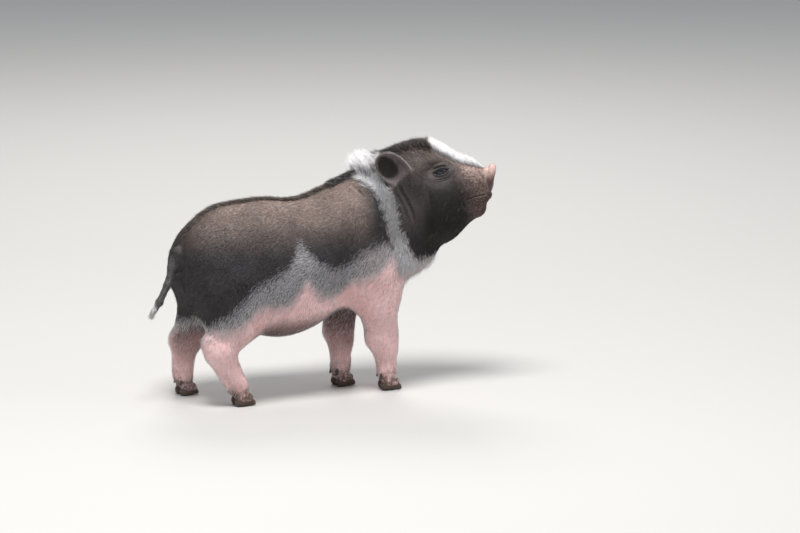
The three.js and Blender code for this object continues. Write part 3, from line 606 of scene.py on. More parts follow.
# keep the one body that holds most of the surface
parent = np.arange(len(sv))
edge = np.concatenate([sq[:, [0, 1]], sq[:, [1, 2]], sq[:, [2, 3]]])
for _ in range(200):
    a, b = parent[edge[:, 0]], parent[edge[:, 1]]
    lowest = np.minimum(a, b)
    before = parent.copy()
    np.minimum.at(parent, edge[:, 0], lowest)
    np.minimum.at(parent, edge[:, 1], lowest)
    parent = parent[parent]
    if (before == parent).all():
        break
ids, num = np.unique(parent, return_counts=True)
keep = parent == ids[num.argmax()]
new = np.cumsum(keep) - 1
sq = new[sq[keep[sq[:, 0]]]]
sv = sv[keep]
sn = vertex_normals(sv, sq)
M = marks(sv)
print("skin", len(sv), "vertices", len(sq) * 2, "triangles")


def mesh_object(name, v, faces, smooth=True):
    me = bpy.data.meshes.new(name)
    v = (np.asarray(v, float) + SHIFT) * MM
    faces = np.asarray(faces)
    k = faces.shape[1]
    me.vertices.add(len(v))
    me.vertices.foreach_set("co", v.astype(np.float32).ravel())
    me.loops.add(faces.size)
    me.loops.foreach_set("vertex_index", faces.astype(np.int32).ravel())
    me.polygons.add(len(faces))
    me.polygons.foreach_set("loop_start", np.arange(0, faces.size, k, dtype=np.int32))
    me.polygons.foreach_set("loop_total", np.full(len(faces), k, np.int32))
    me.polygons.foreach_set("use_smooth", np.full(len(faces), smooth))
    me.update(calc_edges=True)
    ob = bpy.data.objects.new(name, me)
    bpy.context.scene.collection.objects.link(ob)
    return ob


def attr(me, name, values):
    a = me.attributes.new(name, "FLOAT", "POINT")
    a.data.foreach_set("value", np.asarray(values, np.float32))


def attr_color(me, name, rgb):
    a = me.attributes.new(name, "FLOAT_COLOR", "POINT")
    c = np.ones((len(rgb), 4), np.float32)
    c[:, :3] = rgb
    a.data.foreach_set("color", c.ravel())


def mix(a, b, t):
    return a + (np.asarray(b, float) - a) * np.asarray(t)[:, None]


def skin_color(P, M):
    """Linear colour of the bare skin."""
    n1, n2, n3 = noise(P, 0.08, 2.0), noise(P, 0.35, 4.0), noise(P, 1.1, 6.0)
    pink = np.array([0.91, 0.590, 0.585]) * (1 + 0.10 * n1[:, None] + 0.08 * n2[:, None])
    pink = mix(pink, [0.90, 0.62, 0.61], 0.5 * step(n1 + n2, 0.1, 0.9))
    dark = np.array([0.036, 0.033, 0.035]) * (1 + 0.18 * n1[:, None] + 0.22 * n2[:, None])
    # the back is browner and lighter than the flanks
    dark = mix(dark, [0.262, 0.196, 0.170], 0.90 * step(P[:, 2], 150, 212) * (1 - step(P[:, 0], 72, 96)) * (1 - M["head"]) * (0.8 + 0.2 * n1))
    dark = mix(dark, [0.062, 0.052, 0.049], 0.6 * M["head"])
    dark = mix(dark, [0.110, 0.084, 0.074], 0.6 * M["head"] * step(P[:, 2], 222, 246))
    hu = to_head(P)[:, 0]
    dark = mix(dark, [0.011, 0.009, 0.009], 0.9 * step(hu, 14, 32) * M["dark"] * (1 - step(P[:, 2], 176, 208)) + 0.45 * step(P[:, 0], 112, 124) * (1 - step(hu, 14, 32)) * M["dark"] * (1 - step(P[:, 2], 158, 190)))
    dark = mix(dark, dark * 0.36, M["head"] * (1 - step(P[:, 2], 198, 221)) * step(hu, 23, 33))
    roan = mix(np.tile([0.062, 0.053, 0.057], (len(P), 1)), [0.19, 0.125, 0.125], 0.8 * step(P[:, 0], 58, 82)) * (1 + 0.25 * n2[:, None] + 0.3 * n3[:, None])
    # painted shade: the underside of the belly between the legs is darkened for the shade under the body; the pale
    # belly hairs take this tone from the skin
    underside_shade = (1 - step(P[:, 2], 76, 96)) * (1 - step(np.abs(P[:, 1]), 44, 60)) * step(P[:, 2], 60, 68) * step(P[:, 0], -52, -38) * (1 - step(P[:, 0], 50, 66))
    pink = mix(pink, [0.17, 0.080, 0.070], 0.88 * underside_shade)
    # painted shade: the inner sides of the legs are darker pink, and near black higher up where the body shades them;
    # the pale leg hairs take this tone from the skin
    mid = np.where(P[:, 0] > 10, np.interp(P[:, 2], [22, 58, 92], [18, 22, 29]), np.interp(P[:, 2], [22, 58, 92], [36, 36, 33]))
    inner = (1 - step(np.abs(P[:, 1]) - mid, -10, 4)) * (1 - step(P[:, 2], 100, 122)) * step(P[:, 2], 24, 50)
    pink = mix(pink, mix(np.tile([0.42, 0.235, 0.22], (len(P), 1)), [0.070, 0.033, 0.030], step(P[:, 2], 44, 76)), 0.92 * inner)
    pink = mix(pink, [0.80, 0.44, 0.42], 0.45 * step(noise(P, 0.05, 21.0), 0.2, 0.8))
    c = mix(pink, roan, 1 - M["pink"])
    c = mix(c, dark, M["dark"] * (1 - 0.35 * M["collar"] * (1 - M["head"])))
    c = c * (1 - 0.30 * M["head"] * M["dark"] * step(P[:, 2], 194, 214) * (1 - M["ears"]) * (1 - M["snout"]))[:, None]
    sn = np.array([0.27, 0.195, 0.170]) * (1 + 0.25 * n2[:, None] + 0.3 * n3[:, None])
    sn = mix(sn, [0.060, 0.040, 0.034], step(noise(P, 0.75, 6.0) + 0.5 * n2, -0.20, 0.20) * 0.88)
    sn = mix(sn, np.array([0.060, 0.036, 0.031]) * (1 + 0.4 * n3[:, None]), 1 - step(P[:, 2] - mouth_z(to_head(P)[:, 0]), -2.5, 0.5))
    c = mix(c, sn, M["snout"] * 0.95)
    c = mix(c, [0.56, 0.38, 0.34], 0.6 * M["snout"] * step(P[:, 2], 224, 233) * step(n3 + n2, -0.8, 0.2))
    c = mix(c, np.array([0.50, 0.345, 0.31]) * (1 + 0.28 * n3[:, None] + 0.12 * n2[:, None]), M["disc"] * 0.9)
    c = mix(c, [0.30, 0.135, 0.11], 0.80 * M["disc"] * step(to_head(P)[:, 0] + 0.21 * (P[:, 2] - 221), 93.2, 95.6) * (1 - step(np.hypot(to_head(P)[:, 1], P[:, 2] - 222), 8, 12)))
    c = mix(c, [0.050, 0.022, 0.019], 0.92 * M["disc"] * (1 - step(P[:, 2], 219, 236)))
    c = mix(c, [0.175, 0.166, 0.172], 0.8 * M["tail"])
    c = mix(c, [0.52, 0.40, 0.38], 0.8 * M["tailtip"])
    c = mix(c, [0.035, 0.022, 0.020], np.clip(M["nost"], 0, 1))
    c = mix(c, [0.05, 0.035, 0.03], 0.8 * M["mouth"])
    c = mix(c, [0.42, 0.26, 0.22], 0.35 * M["blaze"])
    c = mix(c, np.array([0.075, 0.062, 0.063]) * (1 + 0.3 * n2[:, None]), 0.8 * M["ears"])
    c = mix(c, np.array([0.135, 0.108, 0.112]) * (1 + 0.25 * n2[:, None]), M["inner"])
    # painted shade: the ear's cup is near black for the shade inside it
    c = mix(c, [0.008, 0.005, 0.0045], M["inner"] * M["concha"])
    c = mix(c, [0.150, 0.122, 0.128], 0.75 * M["rim"])
    # greyer lid skin with a painted highlight on the lid rolls
    c = mix(c, [0.135, 0.118, 0.120], 0.7 * M["lid_skin_and_highlight"])
    # painted shade in the folds round the eye
    c = mix(c, [0.018, 0.014, 0.015], 0.85 * M["fold"])
    c = mix(c, [0.010, 0.008, 0.008], 0.95 * M["lid"])
    # painted shade in the neck creases; the hairs rooted there take it over from the skin
    c = mix(c, c * 0.16, 0.95 * M["crease"])
    dirt = M["foot"] * np.clip(0.90 + 0.7 * n2 + 0.4 * n3, 0, 1)
    c = mix(c, [0.066, 0.042, 0.031], 0.94 * dirt)
    c = mix(c, [0.20, 0.135, 0.105], 0.35 * (1 - step(P[:, 2], 20, 52)) * (1 - M["dark"]) * np.clip(0.5 + n2, 0, 1))
    return np.clip(c, 0, 1)


skin_ob = mesh_object("skin", sv, sq)
attr_color(skin_ob.data, "tone", skin_color(sv, M))
attr(skin_ob.data, "wet", np.clip(M["disc"] * 0.6 + M["nost"] + 0.8 * M["lid"], 0, 1))


# ------------------------------------------------------------------ an unwrap of the skin's own shape: trunk, head, legs, ears and tail as islands
LEG_LINE = {k: ([22, 48, 58, 92], [FEET[k][0][0]] + xs, [FEET[k][0][1]] + ys) for k, xs, ys in (
    ("fore_right", [110, 106, 98], [-20, -21, -28]), ("fore_left", [76, 75, 79], [19, 22, 28]),
    ("hind_right", [-74, -79, -66], [-36, -36, -35]), ("hind_left", [-94, -93, -80], [37, 36, 32]))}


def unwrap(P, M):
    x, y, z = P[:, 0], P[:, 1], P[:, 2]
    q = to_head(P)
    zc = np.interp(x, [-125, 0, 60, 100, 130], [145, 138, 152, 182, 188])
    uv = np.stack([0.01 + 0.58 * np.clip((x + 128) / 290, 0, 1), 0.01 + 0.60 * (np.arctan2(y, z - zc) / (2 * math.pi) + 0.5)], -1)
    leg_no = np.full(len(P), -1)
    for i, (k, (zz, xx, yy)) in enumerate(LEG_LINE.items()):
        dx, dy = x - np.interp(z, zz, xx), y - np.interp(z, zz, yy)
        on = (z < 88) & (np.hypot(dx, dy) < 27 + 0.2 * np.maximum(z - 50, 0)) & (dy * np.sign(yy[0]) > -22)
        leg_no[on] = i
        a = np.arctan2(dy, dx) / (2 * math.pi) + 0.5
        uv[on, 0] = 0.01 + 0.245 * i + 0.225 * a[on]
        uv[on, 1] = 0.63 + 0.20 * np.clip(z[on] / 92, 0, 1)
    hd = (q[:, 0] > -10) & (z > 158) & (M["head"] > 0.35)
    a = np.arctan2(q[:, 1], z - 208) / (2 * math.pi) + 0.5
    uv[hd, 0] = 0.61 + 0.38 * np.clip((q[:, 0] + 12) / 120, 0, 1)[hd]
    uv[hd, 1] = 0.01 + 0.60 * a[hd]
    for i, sd in enumerate("rl"):
        t, ts, ye, dh, c = ear_uvh(P, sd)
        on = (M["ears"] > 0.5) & (np.abs(dh) < 6) & (np.abs(ye) < 1.4) & (t > 0) & (t < 48) & ((q[:, 1] < 0) == (sd == "r"))
        uv[on, 0] = (0.01 + 0.40 * i + 0.19 * (dh > 0) + 0.17 * np.clip(ye / 2.8 + 0.5, 0, 1))[on]
        uv[on, 1] = 0.85 + 0.14 * np.clip(t / 46, 0, 1)[on]
    tl = M["tail"] > 0.5
    tx, ty = np.interp(-z, [-157, -143, -126, -109, -97], [-113, -118, -124, -133, -141]), -3.0
    a = np.arctan2(y - ty, x - tx) / (2 * math.pi) + 0.5
    uv[tl, 0] = 0.81 + 0.17 * a[tl]
    uv[tl, 1] = 0.85 + 0.14 * np.clip((160 - z) / 66, 0, 1)[tl]
    return uv


# ------------------------------------------------------------------ which way the hair lies
def lie(P, N, M):
    x, y, z = P[:, 0], P[:, 1], P[:, 2]
    q = to_head(P)
    u, v = q[:, 0], q[:, 1]
    low = 1 - step(z, 85, 165)
    d = np.stack([-1.0 + 0.55 * low, 0 * x, -0.42 - 0.65 * low], -1)
    d[:, 0] += 0.25 * noise(P, 0.035, 11.0)
    d[:, 2] += 0.25 * noise(P, 0.035, 17.0)
    shoulder = step(x, 40, 75) * (1 - step(x, 108, 125)) * (1 - step(z, 190, 215))
    d = mix(d, [-0.55, 0, -0.85], 0.7 * shoulder)
    breast = step(x + 0.5 * (z - 150), 112, 124) * (1 - step(z, 165, 190))
    d = mix(d, [0.15, 0, -1.0], 0.9 * breast)
    legs = 1 - step(z, 62, 92)
    d = mix(d, [-0.25, 0, -1.0], legs)
    neck = step(x, 92, 108) * step(z, 165, 190)
    d = mix(d, [0.10, 0, -1.0], 0.85 * neck)
    cheek = dir_from_head(np.array([-0.9, 0.0, -0.55]))
    brow = dir_from_head(np.array([-1.0, 0.0, 0.28]))
    h = M["head"]
    d = mix(d, cheek, h)
    d = np.where((z > 222)[:, None], mix(d, brow, h), d)
    for sd in "rl":
        _, a, b, n = ear_frame(sd)
        aw = dir_from_head(a)
        side = (v < 0) == (sd == "r")
        d = np.where((side & (M["ears"] > 0.4))[:, None], aw, d)
    tdir = np.array([-0.36, -0.06, -0.93])
    d = np.where((M["tail"] > 0.5)[:, None], tdir, d)
    d = d - N * (d * N).sum(-1, keepdims=True)
    return d / np.maximum(np.linalg.norm(d, axis=1, keepdims=True), 1e-6)


# ------------------------------------------------------------------ the coat: solid tufts on the skin
rng = np.random.default_rng(20)
tri = np.concatenate([sq[:, [0, 1, 2]], sq[:, [0, 2, 3]]])
tri_area = 0.5 * np.linalg.norm(np.cross(sv[tri[:, 1]] - sv[tri[:, 0]], sv[tri[:, 2]] - sv[tri[:, 0]]), axis=1)
coat_pieces, coat_triangles = [], 0


def roots(n, weight):
    w = tri_area * np.clip(weight, 0, None)[tri].mean(1)
    c = np.cumsum(w)
    pick = np.searchsorted(c, (np.arange(n) + rng.random(n)) / n * c[-1])
    pick = np.minimum(pick, len(tri) - 1)
    a, b = rng.random(n), rng.random(n)
    flip = a + b > 1
    a[flip], b[flip] = 1 - a[flip], 1 - b[flip]
    W = np.stack([1 - a - b, a, b], -1)[..., None]
    T = tri[pick]
    P, N = (sv[T] * W).sum(1), (sn[T] * W).sum(1)
    return P, N / np.maximum(np.linalg.norm(N, axis=1, keepdims=True), 1e-9), {k: (m_[T] * W[..., 0]).sum(1) for k, m_ in M.items()}


def tufts(name, P, N, m_, length, width, lift, tone, bend=0.0, spread=0.14, lay=None, fine=True, tip=1.25, slot="dark_coat"):
    """Hairs at P: straight three-sided spikes, or with fine False bent ones in two lengths."""
    global coat_triangles
    n = len(P)
    t = lie(P, N, m_) if lay is None else lay
    e = np.cross(N, t)
    t = t + e * (rng.normal(0, spread, n))[:, None]
    t = t / np.linalg.norm(t, axis=1, keepdims=True)
    e = np.cross(N, t)
    lift = np.clip(lift + rng.normal(0, 0.07, n), 0.04, 1.5)
    d0 = t * np.cos(lift)[:, None] + N * np.sin(lift)[:, None]
    l1 = np.clip(lift - bend, -0.1, 1.5)
    d1 = t * np.cos(l1)[:, None] + N * np.sin(l1)[:, None]
    f = np.cross(d0, e)
    L, w = np.broadcast_to(length, n)[:, None], np.broadcast_to(width, n)[:, None]
    B = P - 0.22 * N
    ring = [B + w * (math.cos(k * 2.0944) * e + math.sin(k * 2.0944) * f) for k in range(3)]
    uv0 = unwrap(P, m_)
    corner = [uv0 + 0.0016 * np.array([math.cos(k * 2.0944), math.sin(k * 2.0944)]) for k in range(3)]
    if fine:
        V_ = np.stack(ring + [B + L * d0], 1)
        UV = np.stack(corner + [uv0], 1)
        F_ = np.array([[0, 1, 3], [1, 2, 3], [2, 0, 3]])
        grade = np.array([0.85, 0.85, 0.85, tip])
    else:
        mid = B + 0.5 * L * d0
        ring2 = [mid + 0.75 * w * (math.cos(k * 2.0944) * e + math.sin(k * 2.0944) * f) for k in range(3)]
        V_ = np.stack(ring + ring2 + [mid + 0.5 * L * d1], 1)
        corner2 = [uv0 + 0.0009 * np.array([math.cos(k * 2.0944), math.sin(k * 2.0944)]) for k in range(3)]
        UV = np.stack(corner + corner2 + [uv0], 1)
        F_ = np.array([[0, 1, 4], [0, 4, 3], [1, 2, 5], [1, 5, 4], [2, 0, 3], [2, 3, 5], [3, 4, 6], [4, 5, 6], [5, 3, 6]])
        grade = np.array([0.85, 0.85, 0.85, 1, 1, 1, tip])
    V_[..., 2] = np.maximum(V_[..., 2], 0.15)
    per = 198000 // len(F_)
    k = V_.shape[1]
    col = np.clip(tone[:, None, :] * grade[None, :, None], 0, 1)
    for part, i0 in enumerate(range(0, n, per)):
        s_ = slice(i0, min(i0 + per, n))
        cnt = s_.stop - s_.start
        faces = (F_[None] + (np.arange(cnt) * k)[:, None, None]).reshape(-1, 3)
        ob = mesh_object("coat_%s_%d" % (name, part), V_[s_].reshape(-1, 3), faces)
        attr_color(ob.data, "tone", col[s_].reshape(-1, 3))
        layer = ob.data.uv_layers.new(name="OFBake")
        layer.data.foreach_set("uv", UV[s_].reshape(-1, 2)[faces.ravel()].astype(np.float32).ravel())
        ob["finish"] = slot
        coat_pieces.append(ob)
        coat_triangles += len(faces)


def shade(n, base, vary=0.2):
    return np.asarray(base, float) * np.clip(1 + rng.normal(0, vary, n), 0.4, 1.8)[:, None]


def pick_tone(n, parts):
    """Random tones: parts is [(share, colour, spread)], share a number or one for each hair."""
    r, out, acc = rng.random(n), shade(n, parts[-1][1], parts[-1][2]), 0.0
    for share, colour, vary in parts[:-1]:
        on = (r >= acc) & (r < acc + share)
        out = np.where(on[:, None], shade(n, colour, vary), out)
        acc = acc + share
    return out


MX, MY, MZ = sv[:, 0], sv[:, 1], sv[:, 2]
HQ = to_head(sv)
WHITE, CREAM, BLACK, BROWN, GREY = (0.82, 0.82, 0.84), (0.86, 0.79, 0.77), (0.022, 0.019, 0.019), (0.235, 0.180, 0.150), (0.30, 0.28, 0.285)
not_soft = (1 - M["disc"]) * (1 - np.clip(M["lid"] * 1.6, 0, 1)) * (1 - 0.8 * M["lid_skin_and_highlight"]) * (1 - 0.9 * np.clip(M["fold"], 0, 1)) * (1 - np.clip(M["nost"] * 1.5, 0, 1)) * (1 - 0.9 * M["mouth"])
body_w = (1 - M["head"]) * (1 - M["ears"]) * (1 - M["tail"])

# the dark saddle: short, flat, browner on the back, with pale flecks
def near_skin(P, m_, vary, gain, grain=1.0):
    """The colour of the skin at the root, lighter or darker by hair."""
    c = skin_color(P, m_)
    clump = 1 + grain * (0.30 * noise(P, 0.42, 31.0) + 0.34 * noise(P, 0.95, 37.0))
    return np.clip(c * gain * clump[:, None] * np.clip(1 + rng.normal(0, vary, len(P)), 0.35, 2.0)[:, None], 0, 1)


def pale(P, m_):
    """Pale hair over pink skin, less of it where the skin is dark."""
    c = near_skin(P, m_, 0.15, 1.12, 0.3)
    return mix(c, CREAM, rng.choice([0.0, 0.3, 0.7], len(P)) * np.clip(c[:, 1] / 0.42, 0.08, 1))


saddle_w = M["dark"] * body_w * (1 - 0.8 * M["collar"])
P, N, m_ = roots(98000, saddle_w)
tufts("saddle", P, N, m_, rng.uniform(2.4, 4.0, len(P)), 0.10, 0.20, near_skin(P, m_, 0.30, 0.80), slot="dark_coat")
P, N, m_ = roots(34000, saddle_w)
tufts("saddle_fleck", P, N, m_, rng.uniform(2.2, 3.8, len(P)), 0.17, 0.28, near_skin(P, m_, 0.45, 2.7, 1.5), slot="dark_coat")

# white hairs over grey skin along the saddle's edge and on the breast
P, N, m_ = roots(56000, M["frost"] * (1 - M["foot"]))
tone = pick_tone(len(P), [(0.05, (0.05, 0.045, 0.048), 0.3), (0.12, GREY, 0.3), (1, (0.87, 0.87, 0.93), 0.08)])
tufts("frost", P, N, m_, rng.uniform(3.0, 5.8, len(P)), 0.140, 0.28, tone, spread=0.2, slot="dark_coat")

# sparse pale hairs on the pink belly and legs
P, N, m_ = roots(20000, M["pink"] * body_w * step(MZ, 55, 80))
tufts("belly", P, N, m_, rng.uniform(3.2, 5.6, len(P)), 0.095, 0.24, pale(P, m_), spread=0.2, slot="pink_skin")
P, N, m_ = roots(22000, M["pink"] * body_w * (1 - step(MZ, 60, 85)) * (1 - 0.6 * M["foot"]))
short = np.interp(P[:, 2], [6, 25, 80], [1.2, 2.2, 3.6])
tufts("legs", P, N, m_, short * rng.uniform(0.75, 1.2, len(P)), 0.09, 0.22, pale(P, m_), slot="pink_skin")

# the white collar's sides
P, N, m_ = roots(14500, np.power(np.clip(M["collar"], 0, 1), 0.55) * body_w * step(MZ, 120, 140))
L = np.interp(P[:, 2], [120, 170, 205, 232], [5.0, 4.5, 5.5, 8.5])
tufts("collar", P, N, m_, L * rng.uniform(0.7, 1.25, len(P)), 0.14, 0.30, pick_tone(len(P), [(0.12, GREY, 0.3), (1, WHITE, 0.08)]), spread=0.3, slot="dark_coat")

# face and head: the shortest hair, dark with grey and brown flecks
P, N, m_ = roots(44000, M["head"] * (1 - M["ears"]) * (1 - 0.7 * M["snout"]) * (1 - 0.85 * M["blaze"]) * not_soft)
qh = to_head(P)
near_eye = np.clip(np.hypot(qh[:, 0] - EYE[0], qh[:, 2] - EYE[2]) / 16, 0.5, 1.0)
tufts("head", P, N, m_, near_eye * rng.uniform(1.5, 2.7, len(P)), 0.085, 0.24, near_skin(P, m_, 0.3, 0.7), slot="dark_coat")
P, N, m_ = roots(16000, M["head"] * (1 - M["ears"]) * (1 - 0.9 * M["snout"]) * (1 - 0.85 * M["blaze"]) * not_soft * (0.25 + 0.75 * step(MZ, 192, 230)))
qh = to_head(P)
near_eye = np.clip(np.hypot(qh[:, 0] - EYE[0], qh[:, 2] - EYE[2]) / 16, 0.5, 1.0)
tufts("head_fleck", P, N, m_, near_eye * rng.uniform(1.6, 3.0, len(P)), 0.140, 0.32, near_skin(P, m_, 0.45, 3.3, 1.3), slot="dark_coat")
P, N, m_ = roots(10000, M["snout"] * not_soft * (1 - 0.6 * M["blaze"]))
tufts("snout", P, N, m_, rng.uniform(1.0, 2.0, len(P)), 0.13, 0.30, pick_tone(len(P), [(0.52, (0.045, 0.030, 0.025), 0.3), (1, (0.47, 0.37, 0.32), 0.22)]), slot="snout_skin")

# hairs along the spine, and the crest on neck and crown, by the height they reach
TOPLINE = ([-118, -100, -80, -54, -21, 24, 57, 68.5, 80, 91, 102, 111, 125, 136, 147, 158, 166, 181, 192, 204, 215, 227],
           [176, 193, 206, 214.5, 218.5, 220, 226.5, 236, 244.5, 252.5, 258, 260.5, 256, 259, 262.5, 263.5, 264, 259, 250, 241, 232, 226])
upness = step(sn[:, 2], 0.35, 0.85)


def crest(name, n, weight, tone_of, lo, hi, lift, bend=0.35, width=0.15, spread=0.16, clump=3.4, lean=0.7):
    P, N, m_ = roots(n, weight)
    L = np.full(len(P), float(lo))
    for _ in range(4):
        gap = np.interp(P[:, 0] - L * math.cos(lift - 0.4 * bend), *TOPLINE) - P[:, 2] + 1.0
        L = 0.5 * L + 0.5 * np.clip(gap / math.sin(min(lift, 1.4)), lo, hi)
    cell = np.floor(P / clump)                                  # hairs of one small lock lean the same way
    h1 = np.sin(cell @ np.array([127.1, 311.7, 74.7])) * 43758.5453
    h2 = np.sin(cell @ np.array([269.5, 183.3, 246.1])) * 24634.6345
    h1, h2 = (h1 - np.floor(h1)) * 2 - 1, h2 - np.floor(h2)
    L = L * (0.82 + 0.28 * h2) * rng.uniform(0.62, 1.08, len(P))
    way = lie(P, N, m_)
    way = way + np.cross(N, way) * (lean * h1)[:, None]
    way /= np.linalg.norm(way, axis=1, keepdims=True)
    tufts(name, P, N, m_, L, width, lift + 0.12 * lean * np.cos(9 * h1), tone_of(len(P)), bend=bend, spread=spread, lay=way, fine=False, slot="dark_coat")


axis_y = np.where(MX > 118, 0.42 * (118 - MX) * 0.95 - 1.0, 0.0)
upness = upness * (MZ > 168)
spine = np.exp(-((MY - axis_y) / 4.2) ** 2) * upness * (1 - M["ears"])
crest("spine", 3200, spine * step(MX, -118, -100) * (1 - step(MX, 66, 76)), lambda n: pick_tone(n, [(0.30, BROWN, 0.2), (1, (0.040, 0.034, 0.034), 0.3)]), 2.6, 9, 0.70, spread=0.3, clump=2.0, lean=0.3)
wide = np.exp(-((MY - axis_y) / 9.0) ** 2) * upness * (1 - M["ears"])
crest("nape", 5600, wide * step(MX, 84, 96) * (1 - step(MX, 112, 119)), lambda n: pick_tone(n, [(0.06, BLACK, 0.3), (0.26, GREY, 0.3), (1, WHITE, 0.10)]), 6, 38, 1.36, bend=0.25, width=0.17, spread=0.2, clump=4.2, lean=0.9)
crest("withers", 2200, spine * step(MX, 56, 66) * (1 - step(MX, 80, 92)), lambda n: pick_tone(n, [(0.2, GREY, 0.3), (1, BLACK, 0.3)]), 3, 12, 0.6, spread=0.3)
crown = np.exp(-(HQ[:, 1] / 11.0) ** 2) * upness * (1 - M["ears"]) * step(MX, 108, 116) * (1 - step(HQ[:, 0], 27, 34))
crest("crown", 5200, crown, lambda n: pick_tone(n, [(0.08, BROWN, 0.2), (1, BLACK, 0.3)]), 4.5, 19, 1.18, bend=0.3, width=0.16, spread=0.34, clump=3.4)
crest("blaze", 5200, M["blaze"] * not_soft, lambda n: pick_tone(n, [(0.22, GREY, 0.3), (1, WHITE, 0.10)]), 1.6, 13, 0.95, bend=0.35, width=0.13, spread=0.45, clump=2.0, lean=0.25)

# ears: down on both faces, a longer fringe round the rim
P, N, m_ = roots(9000, M["ears"] * (1 - 0.75 * M["inner"]) * (1 - 0.7 * M["concha"]))
tufts("ears", P, N, m_, rng.uniform(1.4, 2.6, len(P)), 0.10, 0.24, pick_tone(len(P), [(0.2, GREY, 0.3), (1, (0.035, 0.028, 0.027), 0.3)]), slot="ear_skin")
P, N, m_ = roots(2600, M["ears"] * M["rim"])
tufts("ear_rim", P, N, m_, rng.uniform(1.8, 3.8, len(P)), 0.10, 0.5, pick_tone(len(P), [(0.6, GREY, 0.3), (1, (0.08, 0.07, 0.068), 0.3)]), slot="ear_skin")

# tail, with its pale brush
P, N, m_ = roots(5200, M["tail"] * (1 - 0.5 * M["tailtip"]))
tufts("tail", P, N, m_, rng.uniform(2.4, 4.2, len(P)), 0.12, 0.22, pick_tone(len(P), [(0.45, GREY, 0.3), (1, (0.10, 0.094, 0.096), 0.3)]), slot="dark_coat")
P, N, m_ = roots(1200, M["tailtip"])
tufts("tail_brush", P, N, m_, rng.uniform(3.5, 7.5, len(P)), 0.14, 0.20, pick_tone(len(P), [(0.2, GREY, 0.3), (1, WHITE, 0.1)]), bend=0.1, fine=False, slot="dark_coat")

# loose long hairs on breast and throat, a fringe over the hooves, whiskers
P, N, m_ = roots(1300, M["frost"] * step(MX + 0.5 * (MZ - 150), 108, 118) * (1 - step(MZ, 150, 175)) * step(MZ, 100, 112))
tufts("breast", P, N, m_, rng.uniform(7, 13, len(P)), 0.11, 0.50, shade(len(P), WHITE, 0.08), bend=0.3, spread=0.25, fine=False, slot="dark_coat")
P, N, m_ = roots(1700, (MZ < 19) * (MZ > 8.5) * (1 - M["dark"]))
tufts("fetlock", P, N, m_, rng.uniform(2.4, 4.6, len(P)), 0.10, 0.22, pick_tone(len(P), [(0.5, (0.16, 0.11, 0.085), 0.25), (1, CREAM, 0.15)]), bend=0.1, fine=False, slot="pink_skin")
P, N, m_ = roots(44, M["head"] * step(-MZ, -214, -196) * step(HQ[:, 0], 22, 34) * not_soft)
tufts("whiskers", P, N, m_, rng.uniform(7, 13, len(P)), 0.05, 0.30, pick_tone(len(P), [(0.5, BLACK, 0.3), (1, (0.5, 0.46, 0.44), 0.15)]), bend=0.4, spread=0.4, fine=False, slot="dark_coat")
# sparse long guard hairs break the outline all over
P, N, m_ = roots(2600, (M["dark"] * body_w) * step(MZ, 90, 110))
tufts("guard", P, N, m_, rng.uniform(4.5, 7.5, len(P)), 0.10, 0.45, near_skin(P, m_, 0.4, 0.8), bend=0.3, spread=0.22, fine=False, slot="dark_coat")

# eyelashes along both upper lids
lash_P, lash_N, lash_T = [], [], []
for sd in (-1, 1):
    for k in range(46):
        s = -6.6 + 13.2 * (k + 0.5 * rng.random()) / 46
        R_ = (2.6 ** 2 + 7.4 ** 2) / (2 * 2.6)
        t = math.sqrt(max(R_ * R_ - s * s, 0)) - (R_ - 2.6) + 0.35
        u = EYE[0] + s * math.cos(EYE_TILT) - t * math.sin(EYE_TILT)
        z = EYE[2] + s * math.sin(EYE_TILT) + t * math.cos(EYE_TILT)
        e1 = math.sqrt(max((EYE_R + 0.6) ** 2 - s * s - t * t, 1.0))
        lash_P.append((u, sd * (EYE[1] + e1), z))
        lash_N.append((0.10 * s, sd * 0.96, 0.30))
        lash_T.append((0.05 * s - 0.1, sd * 0.15, 0.75 if s > -3 else 0.55))
lash_P, lash_N, lash_T = from_head(np.array(lash_P)), dir_from_head(np.array(lash_N)), dir_from_head(np.array(lash_T))
lash_N /= np.linalg.norm(lash_N, axis=1, keepdims=True)
lash_T = lash_T - lash_N * (lash_T * lash_N).sum(-1, keepdims=True)
lash_T /= np.linalg.norm(lash_T, axis=1, keepdims=True)
lash_M = marks(lash_P)
tufts("lashes", lash_P, lash_N, lash_M, rng.uniform(2.6, 4.8, len(lash_P)), 0.12, 0.75, shade(len(lash_P), (0.012, 0.010, 0.010), 0.2), bend=-0.5, spread=0.1,
      lay=lash_T, fine=False, slot="dark_coat")
print("coat", len(coat_pieces), "pieces", coat_triangles, "triangles")


# ------------------------------------------------------------------ eyes: a globe with a cornea, iris and pupil
def eye_object(name, sd):
    rings, around = 44, 72
    v, f = [], []
    axis = np.array([0.10, sd * 0.985, 0.02])
    axis /= np.linalg.norm(axis)
    e1 = np.cross([0, 0, 1.0], axis); e1 /= np.linalg.norm(e1)
    e2 = np.cross(axis, e1)
    th = np.linspace(0, math.pi, rings + 1)
    for i, a in enumerate(th):
        r = EYE_R + 0.75 * math.exp(-(a / 0.52) ** 4)
        for j in range(around):
            p = 2 * math.pi * j / around
            v.append(np.array(EYE) * np.array([1, sd, 1]) + r * (math.cos(a) * axis + math.sin(a) * (math.cos(p) * e1 + math.sin(p) * e2)))
    for i in range(rings):
        for j in range(around):
            k = (j + 1) % around
            f.append((i * around + j, (i + 1) * around + j, (i + 1) * around + k, i * around + k))
    ob = mesh_object(name, from_head(np.array(v)), f)
    ang = np.repeat(th, around)
    p = np.tile(2 * math.pi * np.arange(around) / around, rings + 1)
    sx, sz = np.sin(ang) * np.cos(p), np.sin(ang) * np.sin(p)
    attr(ob.data, "out", np.hypot(sx, sz) * np.sign(np.cos(ang)) + 2.0 * (np.cos(ang) < 0))
    attr(ob.data, "sx", sx)
    attr(ob.data, "sz", sz)
    return ob


eyes = {"right": eye_object("eyeball_right", -1), "left": eye_object("eyeball_left", 1)}


